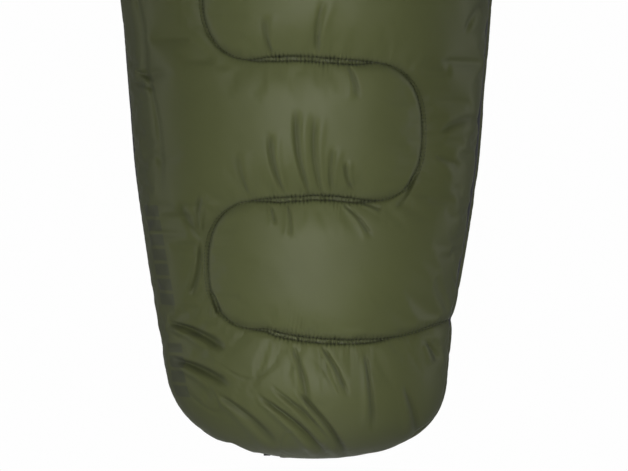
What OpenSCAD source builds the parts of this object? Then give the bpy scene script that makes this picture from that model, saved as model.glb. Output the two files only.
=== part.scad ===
// Mummy sleeping bag: an olive quilted bag lying on its back, with a side zip and a drawcord hood.
// +Z is up, +Y runs from the foot to the head, and the origin is on the ground below the middle of the bag.
// s is the distance from the foot tip along the bag, and o is the depth of a layer under the outer face.

/* [Bag] */
// Length from foot tip to hood tip
bag_len = 2200; // [2100:10:2300]
// Height of the side seams above the ground
seam_z = 105; // [95:1:115]
// Half width at the knee
knee_half = 316; // [300:1:330]
// Distance of the knee from the foot tip
knee_s = 600; // [560:10:640]
// Widening of each side per millimetre above the foot
side_taper = 0.078; // [0.070:0.002:0.086]
// How much narrower each side is at the foot than the straight taper
foot_tuck = 30; // [20:1:40]
// Length of the rounded foot end
foot_round = 150; // [130:5:170]
// Height of the top panel over the seam at the foot
foot_crown = 128; // [115:1:140]
// Height of the top panel over the seam at the chest
chest_crown = 190; // [170:1:200]
// Thickness of one face, from shell to lining
face_t = 23; // [20:0.5:26]
// Thickness of shell and lining cloth
cloth_t = 0.8; // [0.6:0.1:1.0]

/* [Hood] */
// Where the shoulder starts to narrow
shoulder_s = 1690; // [1690:5:1710]
// Length of the shoulder curve
shoulder_len = 360; // [330:10:380]
// Half width of the hood
hood_half = 235; // [220:5:250]
// Length of the rounded head end
head_round = 210; // [190:5:230]
// Height of the hood's crown over the seam
hood_crown = 172; // [160:1:185]
// Top of the face opening, from the foot tip
face_top_s = 2060; // [2040:5:2080]
// Radius of the rolled rim that holds the cord
rim_r = 11; // [9:0.5:13]

/* [Zip] */
// Lower end of the zip, from the foot tip
zip_s = 850; // [830:5:880]
// Neck edge of the top panel, from the foot tip
neck_s = 1700; // [1695:1:1705]
// Width of the slider
slider_w = 11; // [10:0.5:12]
// Length of the slider
slider_l = 15; // [13:0.5:17]
// Gap left between the top and bottom panels for the zip, each side of the teeth
zip_gap = 16; // [15:0.5:18]

/* [Cord] */
// Radius of the drawcord
cord_r = 1.6; // [1.3:0.1:1.8]
// Length of the straight cord tail
tail_len = 150; // [140:5:160]
// Press of the cord lock's button
button_travel = 4; // [3:0.5:4]

/* [Hidden] */
$fn = 32;

// Where each panel starts and ends along the bag
split_s = zip_s + 40;        // the flap starts here, just above the open end of the zip
panel_gap = 12;              // clearance left where a moving panel meets a fixed one
hood_s = neck_s + panel_gap;
layer_gap = 0.3;             // clearance between cloth and filling
seam_gap = 1;                // each panel stops this far from the middle of its seam

// Roundness of the outline and of the cross-sections
plan_n = 2.3;
side_n = 2.0;
top_n = 2.2;
bottom_n = 2.6;
bottom_bulge = 13;           // the underside would drop this far below the ground if it weren't flat

// Colours
olive = [0.30, 0.33, 0.20];
charcoal = [0.13, 0.13, 0.13];
wadding = [0.92, 0.92, 0.90];
black = [0.05, 0.05, 0.05];

// ---------- shape of the bag ----------

tuck_end = knee_s - 40;      // the sides leave their straight taper here, towards the foot
tuck_len = 420;
rise_start = 200;            // the top panel rises from foot to chest over this stretch
rise_len = 1000;

function clamp01(t) = max(0, min(1, t));
function smooth(t) = let (c = clamp01(t)) c * c * (3 - 2 * c);
function mix(a, b, t) = a + (b - a) * t;

// Fraction of the full size at distance d from a rounded end of length r
function end_round(d, r, n) = d >= r ? 1 : pow(1 - pow(1 - max(d, 0) / r, n), 1 / n);

function side_line(s) = knee_half + side_taper * (s - knee_s);
function body_half(s) = side_line(s) - foot_tuck * smooth((tuck_end - s) / tuck_len);
function plan_half(s) = mix(body_half(s), hood_half, smooth((s - shoulder_s) / shoulder_len));
function plan_crown(s) = s < neck_s
    ? mix(foot_crown, chest_crown, smooth((s - rise_start) / rise_len))
    : mix(chest_crown, hood_crown, smooth((s - neck_s) / (face_top_s - neck_s)));

function both_ends(s, o, n) =
    end_round(s - o, foot_round - o, n) * end_round(bag_len - o - s, head_round - o, n);
function half_w(s, o) = (plan_half(s) - o) * both_ends(s, o, plan_n);
function crown(s, o) = (plan_crown(s) - o) * both_ends(s, o, side_n);
function depth(s, o) = (seam_z + bottom_bulge - o) * both_ends(s, o, side_n);

// Signed power, and the two halves of a cross-section, a running 0 to 180 from the right seam to the left
function spow(x, p) = sign(x) * pow(abs(x), p);
function at(s) = s - bag_len / 2;
function top_point(s, a, o) = [
    half_w(s, o) * spow(cos(a), 2 / top_n), at(s), seam_z + crown(s, o) * spow(sin(a), 2 / top_n)];
function bottom_point(s, a, o) = [
    half_w(s, o) * spow(cos(a), 2 / bottom_n), at(s),
    max(o, seam_z - depth(s, o) * spow(sin(a), 2 / bottom_n))];

// The angle at which a section of height h has moved gap away from its seam
function seam_angle(gap, h, n) = asin(min(0.95, pow(gap / h, n / 2)));
function left_gap(s) = s < (zip_low_s + zip_open_s) / 2 ? seam_gap : zip_gap;

// ---------- sheets: closed solids between two grids of points ----------

// outer and inner are lists of rows of points, of the same size
module sheet(outer, inner) {
    rows = len(outer);
    cols = len(outer[0]);
    function id(k, i, j) = k * rows * cols + i * cols + j;
    function quad(a, b, c, d) = [[a, b, c], [a, c, d]];
    points = [for (g = [outer, inner]) for (row = g) for (p = row) p];
    skin = [for (i = [0:rows - 2], j = [0:cols - 2]) each concat(
        quad(id(0, i, j), id(0, i + 1, j), id(0, i + 1, j + 1), id(0, i, j + 1)),
        quad(id(1, i, j), id(1, i, j + 1), id(1, i + 1, j + 1), id(1, i + 1, j)))];
    ends = [for (j = [0:cols - 2]) each concat(
        quad(id(0, 0, j), id(0, 0, j + 1), id(1, 0, j + 1), id(1, 0, j)),
        quad(id(0, rows - 1, j), id(1, rows - 1, j), id(1, rows - 1, j + 1), id(0, rows - 1, j + 1)))];
    sides = [for (i = [0:rows - 2]) each concat(
        quad(id(0, i, 0), id(1, i, 0), id(1, i + 1, 0), id(0, i + 1, 0)),
        quad(id(0, i, cols - 1), id(0, i + 1, cols - 1), id(1, i + 1, cols - 1), id(1, i, cols - 1)))];
    polyhedron(points, concat(skin, ends, sides));
}

// Rows crowd towards the tip of the rounded foot, and are evenly spaced above it
toe_angles = [3, 17, 32, 48, 66];
function toe_rows(o) = [for (a = toe_angles) o + (foot_round - o) * (1 - cos(a))];
function even_rows(s_a, s_b, n) = [for (i = [0:n]) mix(s_a, s_b, i / n)];

// Up to the zip's lower end, where the gap for the zip opens between zip_low_s and zip_open_s
zip_open_s = zip_s - 5;
zip_low_s = zip_open_s - 20;
leg_rows = even_rows(foot_round + 10, zip_low_s, 5);

top_cols = 16;
function top_row(s, o) = let (
    right = seam_angle(seam_gap, crown(s, o), top_n),
    left = 180 - seam_angle(left_gap(s), crown(s, o), top_n))
    [for (j = [0:top_cols]) top_point(s, mix(right, left, j / top_cols), o)];
function bottom_row(s, o) = let (
    right = seam_angle(seam_gap, depth(s, o), bottom_n),
    left = 180 - seam_angle(left_gap(s), depth(s, o), bottom_n))
    [for (j = [0:top_cols]) bottom_point(s, mix(left, right, j / top_cols), o)];

// The three layers of a face: cloth outside, filling, cloth inside
layer_depths = [
    [0, cloth_t],
    [cloth_t + layer_gap, face_t - layer_gap],
    [face_t, face_t + cloth_t]];

module bottom_layer(k) {
    d = layer_depths[k];
    rows = concat(leg_rows, even_rows(zip_open_s, neck_s, 6));
    sheet([for (s = concat(toe_rows(d[0]), rows)) bottom_row(s, d[0])],
          [for (s = concat(toe_rows(d[1]), rows)) bottom_row(s, d[1])]);
}

module foot_layer(k) {
    d = layer_depths[k];
    rows = concat(leg_rows, [zip_open_s, split_s - panel_gap]);
    sheet([for (s = concat(toe_rows(d[0]), rows)) top_row(s, d[0])],
          [for (s = concat(toe_rows(d[1]), rows)) top_row(s, d[1])]);
}

module flap_layer(k) {
    d = layer_depths[k];
    sheet([for (s = even_rows(split_s, neck_s, 7)) top_row(s, d[0])],
          [for (s = even_rows(split_s, neck_s, 7)) top_row(s, d[1])]);
}

// ---------- hood ----------

// The rim lies in a plane that climbs from the neck to the crown
rim_start = 5;
rim_rise = (crown(face_top_s, 0) - rim_start) / (face_top_s - hood_s);
function rim_height(s) = rim_start + rim_rise * (s - hood_s);
crown_seam_angle = 89.8;
function rim_angle(s, o) = min(crown_seam_angle,
    asin(clamp01(pow(clamp01(rim_height(s) / max(crown(s, o), 1)), top_n / 2))));

under_cols = 12;
wall_cols = 6;
function hood_row(s, o) = let (rim = rim_angle(s, o)) concat(
    [for (j = [0:wall_cols - 1]) top_point(s, 180 - rim * (1 - j / wall_cols), o)],
    [for (j = [0:under_cols]) bottom_point(s, 180 * (1 - j / under_cols), o)],
    [for (j = [1:wall_cols]) top_point(s, rim * j / wall_cols, o)]);
function hood_rows(o) = concat(
    [for (a = [0:15:90]) mix(hood_s, face_top_s, sin(a))],
    [for (a = [56, 38, 22, 10, 3]) bag_len - o - (head_round - o) * (1 - cos(a))]);

module hood_layer(k) {
    d = layer_depths[k];
    sheet([for (s = hood_rows(d[0])) hood_row(s, d[0])],
          [for (s = hood_rows(d[1])) hood_row(s, d[1])]);
}

// Points along the rim, from the left side of the neck over the crown to the right side
rim_clear = 17;              // the rim roll stands this far outside the cut edge of the hood
function rim_point(t) = let (
    s = mix(hood_s, face_top_s, cos(t * 90)),
    a = rim_angle(s, 0),
    p = top_point(s, a, face_t / 2))
    [sign(t) * abs(p[0]), p[1] - rim_clear * (1 - abs(t)), p[2] + rim_clear];
rim_steps = 18;
rim_path = [for (i = [-rim_steps:rim_steps]) rim_point(mix(0, 0.86, i / rim_steps))];

// ---------- tubes swept along a list of points ----------

function unit(v) = v / norm(v);
function path_tangent(p, i) = unit(p[min(i + 1, len(p) - 1)] - p[max(i - 1, 0)]);
function ring(p, i, r, up, sides) = let (
    t = path_tangent(p, i),
    n = unit(cross(up, t)),
    b = cross(t, n))
    [for (j = [0:sides - 1]) p[i] + r * (cos(360 * j / sides) * n + sin(360 * j / sides) * b)];

module tube(p, r, up, sides) {
    rings = [for (i = [0:len(p) - 1]) ring(p, i, r, up, sides)];
    last = (len(p) - 1) * sides;
    side_faces = [for (i = [0:len(p) - 2], j = [0:sides - 1]) let (
        a = i * sides + j, b = i * sides + (j + 1) % sides)
        each [[a, b + sides, b], [a, a + sides, b + sides]]];
    caps = [[for (j = [0:sides - 1]) j], [for (j = [sides - 1:-1:0]) last + j]];
    polyhedron([for (q = rings) for (v = q) v], concat(side_faces, caps));
}

// A tube with a wall, for the hollow channel that the cord runs in
module pipe(p, r, wall, up, sides) {
    outside = [for (i = [0:len(p) - 1]) each ring(p, i, r, up, sides)];
    inside = [for (i = [0:len(p) - 1]) each ring(p, i, r - wall, up, sides)];
    end = len(p) - 1;
    function outer_id(i, j) = i * sides + j % sides;
    function inner_id(i, j) = len(outside) + outer_id(i, j);
    walls = [for (i = [0:len(p) - 2], j = [0:sides - 1]) each [
        [outer_id(i, j), outer_id(i + 1, j + 1), outer_id(i, j + 1)],
        [outer_id(i, j), outer_id(i + 1, j), outer_id(i + 1, j + 1)],
        [inner_id(i, j), inner_id(i, j + 1), inner_id(i + 1, j + 1)],
        [inner_id(i, j), inner_id(i + 1, j + 1), inner_id(i + 1, j)]]];
    ends = [for (j = [0:sides - 1]) each [
        [outer_id(0, j), outer_id(0, j + 1), inner_id(0, j + 1)],
        [outer_id(0, j), inner_id(0, j + 1), inner_id(0, j)],
        [outer_id(end, j), inner_id(end, j + 1), outer_id(end, j + 1)],
        [outer_id(end, j), inner_id(end, j), inner_id(end, j + 1)]]];
    polyhedron(concat(outside, inside), concat(walls, ends));
}

// ---------- zip: a straight line along the left seam ----------

// Everything here is placed in the zip's frame: Y runs up the zip from its lower end,
// -X faces out of the bag and Z is up, with the seam plane at Z = 0.
zip_angle = atan(side_taper);
function along(s) = (s - zip_s) / cos(zip_angle);
module in_zip_frame(y = 0)
    translate([-side_line(zip_s), at(zip_s), seam_z]) rotate([0, 0, zip_angle])
        translate([0, y, 0]) children();

zip_top_s = neck_s - 12;
zip_len = along(zip_top_s);
foot_zip_end = along(split_s - panel_gap);
flap_zip_start = along(split_s) + 2;
tooth_t = 3;
tooth_w = 3;
tooth_gap = 0.7;             // half the gap between the two rows of teeth
tape_t = 0.8;
tape_in = tooth_gap + tooth_w;
tape_out = zip_gap - 0.9;

// One side of the zip: side is 1 for the upper row and -1 for the lower
module strip(side, thick, z_in, z_out, y_from, y_to)
    in_zip_frame(y_from) translate([-thick / 2, 0, side > 0 ? z_in : -z_out])
        cube([thick, y_to - y_from, z_out - z_in]);
module tape(side, y_from, y_to) color(black) strip(side, tape_t, tape_in, tape_out, y_from, y_to);
module teeth(side, y_from, y_to) color(black) strip(side, tooth_t, tooth_gap, tape_in, y_from, y_to);

stop_len = 3;
module zip_tape_bag() { tape(-1, 0, zip_len); }
module zip_tape_foot() { tape(1, 0, foot_zip_end); }
module zip_tape_flap() { tape(1, flap_zip_start, zip_len); }
module zip_teeth_bag() { teeth(-1, stop_len + 1, zip_len - stop_len - 1); }
module zip_teeth_foot() { teeth(1, stop_len + 1, foot_zip_end); }
module zip_teeth_flap() { teeth(1, flap_zip_start, zip_len - stop_len - 1); }

stop_t = 4.4;
stop_z = tape_in - 0.2;
module zip_bottom_stop() color("silver") {
    in_zip_frame() translate([-stop_t / 2, 0, -stop_z]) cube([stop_t, stop_len, 2 * stop_z]);
}
module top_stop(side) color("silver") {
    strip(side, stop_t, tooth_gap, stop_z, zip_len - stop_len, zip_len);
}
module zip_top_stop_bag() { top_stop(-1); }
module zip_top_stop_flap() { top_stop(1); }

// Padded tube that covers the back of the zip
draft_r = 14;
draft_x = face_t + cloth_t + draft_r + 5.5;
draft_low = -13;
draft_high = 4;
draft_start = 10;
draft_len = zip_len - 60;
module zip_draft_tube() color(charcoal) {
    in_zip_frame(draft_start) translate([draft_x, 0, 0]) rotate([-90, 0, 0]) linear_extrude(draft_len) hull() {
        translate([0, -draft_high]) circle(r = draft_r, $fn = 20);
        translate([0, -draft_low]) circle(r = draft_r, $fn = 20);
    }
}

// ---------- slider: two plates joined by a web that runs between the rows of teeth ----------

slider_rest = 22;            // the slider's lower end, along the zip
plate_t = 1.8;
channel_x = 2.2;
lip_x = 1.3;
lip_t = 1.2;
web_t = 0.7;
web_len = 5;
bail_r = 1.0;
bail_x = channel_x + plate_t + 3.2;
bail_half = 3.4;
bail_post = 1.2;
pull_len = 26;
pull_w = 2 * (bail_half - bail_post) - 0.4;
pull_t = 1.6;
pull_eye_r = 2.2;
cord_hole_r = 1.1;

module slider_half(side) mirror([side < 0 ? 1 : 0, 0, 0]) {
    translate([channel_x, 0, -slider_w / 2]) cube([plate_t, slider_l, slider_w]);
    for (z = [-slider_w / 2, slider_w / 2 - lip_t])
        translate([channel_x - lip_x, 0, z]) cube([lip_x, slider_l, lip_t]);
    for (z = [-bail_half, bail_half - bail_post])
        translate([channel_x + plate_t, slider_l / 2 - 1, z])
            cube([bail_x + bail_r - channel_x - plate_t, 2, bail_post]);
    translate([bail_x, slider_l / 2, -bail_half]) cylinder(r = bail_r, h = 2 * bail_half);
}
module slider_body() color("silver") in_zip_frame(slider_rest) {
    slider_half(-1);
    slider_half(1);
    translate([-channel_x, slider_l - web_len - 1, -web_t / 2]) cube([2 * channel_x, web_len, web_t]);
}

// A pull hangs on its bail and lies along the zip towards the foot
module slider_pull(side) color("silver")
    in_zip_frame(slider_rest + slider_l / 2) translate([side * bail_x, 0, -pull_w / 2])
        difference() {
            union() {
                cylinder(r = pull_eye_r, h = pull_w);
                translate([-pull_t / 2, -pull_len, 0]) cube([pull_t, pull_len, pull_w]);
            }
            translate([0, 0, -1]) cylinder(r = bail_r + 0.08, h = pull_w + 2);
            translate([-pull_t, 2 * cord_hole_r - pull_len, pull_w / 2]) rotate([0, 90, 0])
                cylinder(r = cord_hole_r, h = 2 * pull_t);
        }
module slider_pull_outer() { slider_pull(-1); }
module slider_pull_inner() { slider_pull(1); }

// Soft grip on the end of the outer pull
grip_r = 2.4;
grip_len = 34;
module slider_pull_grip() color(black) {
    in_zip_frame(slider_rest + slider_l / 2 - pull_len - 0.3) translate([-bail_x, 0, 0])
        rotate([90, 0, 0]) cylinder(r = grip_r, h = grip_len);
}

// ---------- tab that closes over the top of the zip ----------

tab_len = 20;
tab_below_neck = 38;
tab_y = along(neck_s) - tab_below_neck;
tab_t = 1.6;
tab_x = 3.6;                 // the tab's inner face is this far outside the zip
tab_top = 26;
tab_low = -30;
patch_t = 0.8;
patch_w = 13;
module tab_piece(x, t, inset, z_low, z_high)
    in_zip_frame(tab_y + inset) translate([x, 0, z_low]) cube([t, tab_len - 2 * inset, z_high - z_low]);
module zip_tab() color(olive) { tab_piece(-tab_x - tab_t, tab_t, 0, tab_low, tab_top); }
module zip_tab_hook_patch() color(black) {
    tab_piece(-tab_x + 0.1, patch_t, 1, tab_low + 1, tab_low + 1 + patch_w);
}
module zip_tab_loop_patch() color(black) {
    tab_piece(-tab_x + 0.4 + patch_t, patch_t, 1, tab_low + 1, tab_low + 1 + patch_w);
}

// ---------- trim ----------

// Piping just outside and below the right seam, from the toe to the neck
piping_r = 2;
piping_off = piping_r + 0.8;
function outline(s) = [half_w(s, 0), at(s)];
function outward(s) = let (t = unit(outline(s + 1) - outline(s - 1))) [t[1], -t[0]];
piping_path = [for (s = concat([for (i = [2:len(toe_angles) - 1]) toe_rows(0)[i]],
                               leg_rows, even_rows(zip_open_s, neck_s - 4, 6)))
    let (p = outline(s) + piping_off * outward(s)) [p[0], p[1], seam_z - piping_off]];
module side_seam_piping() color(olive) { tube(piping_path, piping_r, [0, 0, 1], 8); }

// Bound edge of the top panel at the neck
module neck_binding() color(black) {
    rows = [neck_s + 0.4, neck_s + 9];
    sheet([for (s = rows) top_row(s, 0)], [for (s = rows) top_row(s, face_t + cloth_t)]);
}

channel_wall = 6;
rim_tilt = [0, -sin(25), cos(25)];
module hood_rim_channel() color(olive) { pipe(rim_path, rim_r, channel_wall, rim_tilt, 10); }
module hood_drawcord() color(black) { tube(rim_path, cord_r, rim_tilt, 6); }

// Two webbing loops that hang from the foot seam
loop_x = 70;
eye_r = 8;
loop_t = 1.2;
loop_w = 12;
eye_s = 11;
eye_z = 42;
strap_top = 84;
module hanging_loops() color(black) for (side = [-1, 1]) translate([side * loop_x - loop_w / 2, at(0), 0])
    difference() {
        union() {
            translate([0, eye_s, eye_z]) rotate([0, 90, 0]) cylinder(r = eye_r + loop_t, h = loop_w);
            translate([0, eye_s - eye_r - loop_t, eye_z]) cube([loop_w, 2 * loop_t, strap_top - eye_z]);
        }
        translate([-1, eye_s, eye_z]) rotate([0, 90, 0]) cylinder(r = eye_r, h = loop_w + 2);
    }

// Flat pocket sewn inside the top panel at the chest
pocket_s = 1430;
pocket_len = 170;
pocket_spread = 24;
pocket_t = 3;
module inner_pocket() color(black) {
    o = face_t + cloth_t + 1.5;
    angles = [for (i = [-2:2]) 90 + i * pocket_spread / 2];
    rows = even_rows(pocket_s, pocket_s + pocket_len, 2);
    sheet([for (s = rows) [for (a = angles) top_point(s, a, o)]],
          [for (s = rows) [for (a = angles) top_point(s, a, o + pocket_t)]]);
}

// Blank care label hanging inside from the right seam
label_s = 1200;
label_in = face_t + 9;
label_low = -22;
label_size = [0.6, 35, 50];
module care_label() color("white") {
    translate([half_w(label_s, 0) - label_in, at(label_s), seam_z + label_low]) cube(label_size);
}

// ---------- cord tail and cord lock beside the neck ----------

exit_s = neck_s - 9;
exit_x = -half_w(exit_s, 0) - 2.6;
exit_z = 88;
tail_s = neck_s - 20;        // the straight part runs from here towards the foot
tail_x = -side_line(tail_s) + 20;
tail_z = 7.6;
eyelet_r = 5.5;
eyelet_t = 1.6;
module cord_exit_eyelet() color("silver") {
    translate([exit_x, at(exit_s), exit_z]) rotate([0, 90, 0]) difference() {
        cylinder(r = eyelet_r, h = eyelet_t);
        translate([0, 0, -1]) cylinder(r = cord_r + 1, h = eyelet_t + 2);
    }
}

// The tail drops from the eyelet in one curve and then lies straight just above the ground
function curve(a, b, c, d, t) =
    pow(1 - t, 3) * a + 3 * t * pow(1 - t, 2) * b + 3 * t * t * (1 - t) * c + pow(t, 3) * d;
tail_start = [exit_x - cord_r - 0.6, at(exit_s), exit_z];
tail_bend = [tail_x, at(tail_s) + 0.2, tail_z];
tail_drop = [for (t = [0:0.1:1])
    curve(tail_start, tail_start - [6, 2, 14], tail_bend + [0, 34, 0], tail_bend, t)];
module cord_tail() color(black) {
    tube(tail_drop, cord_r, [1, 0, 0], 10);
    translate([tail_x, at(tail_s), tail_z]) rotate([90, 0, 0]) cylinder(r = cord_r, h = tail_len);
}
module cord_end_bead() color(black) {
    translate([tail_x, at(tail_s - tail_len) - 0.2, tail_z]) rotate([90, 0, 0])
        cylinder(r1 = 4, r2 = 5.2, h = 12);
}

// Cord lock: a barrel with a sprung button, both crossed by the cord. Its local +Z faces -X.
lock_s = tail_s - tail_len + 22;
lock_r = 7;
bore_r = 5.2;
lock_floor = 3;
lock_back = 8;
lock_front = 14;
button_out = 5;              // how far the button stands out of the barrel
button_low = -2.8;
slot_r = cord_r + 0.5;
module in_lock_frame() translate([tail_x, at(lock_s), tail_z]) rotate([0, -90, 0]) children();
module cord_lock_barrel() color(black) in_lock_frame() difference() {
    translate([0, 0, -lock_front]) cylinder(r = lock_r, h = lock_front + lock_back);
    translate([0, 0, lock_floor - lock_front]) cylinder(r = bore_r, h = lock_front + lock_back);
    rotate([90, 0, 0]) cylinder(r = cord_r + 0.7, h = 4 * lock_r, center = true);
}
module cord_lock_button() color(charcoal) in_lock_frame() difference() {
    translate([0, 0, button_low]) cylinder(r = bore_r - 0.08, h = lock_back + button_out - button_low);
    translate([-slot_r, -2 * bore_r, 0.3 - slot_r]) cube([2 * slot_r, 4 * bore_r, 2 * slot_r + button_travel]);
}

spring_r = 3.2;
wire_r = 0.4;
spring_turns = 3;
spring_steps = 12 * spring_turns;
spring_low = lock_floor - lock_front + wire_r + 0.1;
spring_high = button_low - wire_r - 0.1;
spring_path = [for (i = [0:spring_steps]) let (a = 360 * spring_turns * i / spring_steps)
    [spring_r * cos(a), spring_r * sin(a), mix(spring_low, spring_high, i / spring_steps)]];
module cord_lock_spring() color("silver") in_lock_frame() tube(spring_path, wire_r, [0, 0, 1], 6);

// ---------- panels, one module per piece ----------

module bottom_shell() color(olive) { bottom_layer(0); }
module bottom_insulation() color(wadding) { bottom_layer(1); }
module bottom_lining() color(charcoal) { bottom_layer(2); }
module foot_shell() color(olive) { foot_layer(0); }
module foot_insulation() color(wadding) { foot_layer(1); }
module foot_lining() color(charcoal) { foot_layer(2); }
module flap_shell() color(olive) { flap_layer(0); }
module flap_insulation() color(wadding) { flap_layer(1); }
module flap_lining() color(charcoal) { flap_layer(2); }
module hood_shell() color(olive) { hood_layer(0); }
module hood_insulation() color(wadding) { hood_layer(1); }
module hood_lining() color(charcoal) { hood_layer(2); }

// ---------- output ----------

bottom_shell();
bottom_insulation();
bottom_lining();
foot_shell();
foot_insulation();
foot_lining();
flap_shell();
flap_insulation();
flap_lining();
neck_binding();
hood_shell();
hood_insulation();
hood_lining();
hood_rim_channel();
hood_drawcord();
side_seam_piping();
zip_tape_bag();
zip_tape_foot();
zip_tape_flap();
zip_teeth_bag();
zip_teeth_foot();
zip_teeth_flap();
zip_bottom_stop();
zip_top_stop_bag();
zip_top_stop_flap();
zip_draft_tube();
slider_body();
slider_pull_outer();
slider_pull_inner();
slider_pull_grip();
zip_tab();
zip_tab_hook_patch();
zip_tab_loop_patch();
cord_exit_eyelet();
cord_tail();
cord_end_bead();
cord_lock_barrel();
cord_lock_button();
cord_lock_spring();
hanging_loops();
inner_pocket();
care_label();
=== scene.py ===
"""Looks of an olive quilted mummy sleeping bag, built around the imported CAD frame. All lengths are metres.

s is the distance from the toe along the bag and o is the depth under the bag's outer face. The zip is on the
-X side. The outline functions are the CAD model's own, so every piece lands where the frame says.
"""
import math

import bmesh
import bpy
import numpy as np
from mathutils import Matrix, Vector, kdtree


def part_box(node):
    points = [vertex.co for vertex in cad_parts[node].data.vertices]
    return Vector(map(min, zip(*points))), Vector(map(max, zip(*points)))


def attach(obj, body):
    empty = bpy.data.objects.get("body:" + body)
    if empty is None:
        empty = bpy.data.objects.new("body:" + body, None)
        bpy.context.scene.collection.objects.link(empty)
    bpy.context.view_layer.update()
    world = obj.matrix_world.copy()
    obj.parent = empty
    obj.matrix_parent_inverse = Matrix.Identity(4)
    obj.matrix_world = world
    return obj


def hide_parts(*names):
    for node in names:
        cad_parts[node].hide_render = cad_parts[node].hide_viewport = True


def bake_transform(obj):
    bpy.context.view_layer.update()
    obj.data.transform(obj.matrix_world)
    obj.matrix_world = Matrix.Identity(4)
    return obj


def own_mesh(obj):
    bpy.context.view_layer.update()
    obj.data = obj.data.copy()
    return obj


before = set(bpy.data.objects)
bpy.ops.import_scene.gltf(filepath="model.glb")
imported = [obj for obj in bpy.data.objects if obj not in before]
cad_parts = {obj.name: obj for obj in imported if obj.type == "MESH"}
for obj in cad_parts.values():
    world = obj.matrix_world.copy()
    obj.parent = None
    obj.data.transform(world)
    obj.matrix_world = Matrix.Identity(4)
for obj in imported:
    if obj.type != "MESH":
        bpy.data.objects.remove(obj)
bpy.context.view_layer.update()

# ---------- driving dimensions ----------

# Read from the frame
TOE_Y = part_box("foot_shell")[0].y
BAG_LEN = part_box("hood_shell")[1].y - TOE_Y
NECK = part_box("flap_shell")[1].y - TOE_Y
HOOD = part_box("hood_shell")[0].y - TOE_Y
SEAM_Z = sum(c.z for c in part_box("zip_bottom_stop")) / 2

# The outline's own values, as in the CAD model
KNEE_HALF, KNEE_S = 0.316, 0.600
SIDE_TAPER = 0.078
FOOT_TUCK, TUCK_END, TUCK_LEN = 0.030, 0.560, 0.420
TOE_ROUND, HEAD_ROUND = 0.150, 0.210
FOOT_CROWN, CHEST_CROWN, HOOD_CROWN = 0.128, 0.190, 0.172
RISE_START, RISE_LEN = 0.200, 1.000
SHOULDER_S, SHOULDER_LEN, HOOD_HALF = 1.690, 0.360, 0.235
FACE_TOP_S = 2.060
BOTTOM_BULGE = 0.013
PLAN_N, SIDE_N, TOP_N, BOTTOM_N = 2.3, 2.0, 2.2, 2.6
FACE_T = 0.023
CLOTH_T = 0.0007
ABOVE_FLOOR = 0.0006         # cloth that lies on the floor stays this far above it
ZIP_S = 0.850
SPLIT, SPLIT_GAP = 0.890, 0.012

# How far the toe leans to the right of the bag's middle
TOE_LEAN, TOE_LEAN_LEN = 0.016, 0.16


# ---------- the bag's outline ----------

def smooth(t):
    """Eases from 0 to 1 as t goes from 0 to 1."""
    t = np.clip(t, 0, 1)
    return t * t * (3 - 2 * t)


def mix(a, b, t):
    """a where t is 0 and b where t is 1."""
    return a + (b - a) * t


def spow(x, p):
    """Power that keeps the sign."""
    return np.sign(x) * np.abs(x) ** p


def end_round(d, r, n):
    """Share of the full size at distance d from an end that is rounded over length r."""
    inner = np.clip(1 - np.maximum(d, 0) / r, 0, 1)
    return np.where(d >= r, 1.0, (1 - inner**n) ** (1 / n))


def side_line(s):
    """Half width of the straight side that carries the zip and the hinge."""
    return KNEE_HALF + SIDE_TAPER * (s - KNEE_S)


def plan_half(s):
    """Half width before the ends are rounded."""
    body = side_line(s) - FOOT_TUCK * smooth((TUCK_END - s) / TUCK_LEN)
    return mix(body, HOOD_HALF, smooth((s - SHOULDER_S) / SHOULDER_LEN))


def plan_crown(s):
    """Height above the seam before the ends are rounded."""
    body = mix(FOOT_CROWN, CHEST_CROWN, smooth((s - RISE_START) / RISE_LEN))
    hood = mix(CHEST_CROWN, HOOD_CROWN, smooth((s - NECK) / (FACE_TOP_S - NECK)))
    return np.where(s < NECK, body, hood)


def both_ends(s, o, n):
    return end_round(s - o, TOE_ROUND - o, n) * end_round(BAG_LEN - o - s, HEAD_ROUND - o, n)


def half_w(s, o=0.0):
    return (plan_half(s) - o) * both_ends(s, o, PLAN_N)


def crown(s, o=0.0):
    return (plan_crown(s) - o) * both_ends(s, o, SIDE_N)


def depth(s, o=0.0):
    return (SEAM_Z + BOTTOM_BULGE - o) * both_ends(s, o, SIDE_N)


def lean(s):
    """How far the bag's middle lies to the right."""
    return TOE_LEAN * (1 - smooth(s / TOE_LEAN_LEN))


def top_point(s, a, o):
    """Top half at angle a, 0 at the right seam and pi at the left."""
    x = half_w(s, o) * spow(np.cos(a), 2 / TOP_N) + lean(s)
    z = SEAM_Z + crown(s, o) * spow(np.sin(a), 2 / TOP_N)
    return np.stack(np.broadcast_arrays(x, s + TOE_Y, z), -1)


def bottom_point(s, a, o):
    """Bottom half at angle a, 0 at the right seam and pi at the left. It never goes under the floor."""
    x = half_w(s, o) * spow(np.cos(a), 2 / BOTTOM_N) + lean(s)
    z = np.maximum(o, SEAM_Z - depth(s, o) * spow(np.sin(a), 2 / BOTTOM_N))
    return np.stack(np.broadcast_arrays(x, s + TOE_Y, z), -1)


# ---------- grids of points ----------

# Rows run towards the head, and columns run so that rows x columns points out of the bag

def s_of(q, o=0.0):
    """Distance along the bag of a row that is q along its middle line, which curls down at the toe."""
    r = TOE_ROUND - o
    curl = o + r * (1 - np.cos(np.clip(q / r, 0, math.pi / 2)))
    return np.where(q < r * math.pi / 2, curl, TOE_ROUND + q - r * math.pi / 2)


def q_of(s, o=0.0):
    """The opposite of s_of, past the toe's curl."""
    return (TOE_ROUND - o) * math.pi / 2 + s - TOE_ROUND


def run_along(path):
    """Distance along a line to each of its points."""
    return np.concatenate([[0], np.cumsum(np.linalg.norm(np.diff(path, axis=0), axis=1))])


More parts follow.
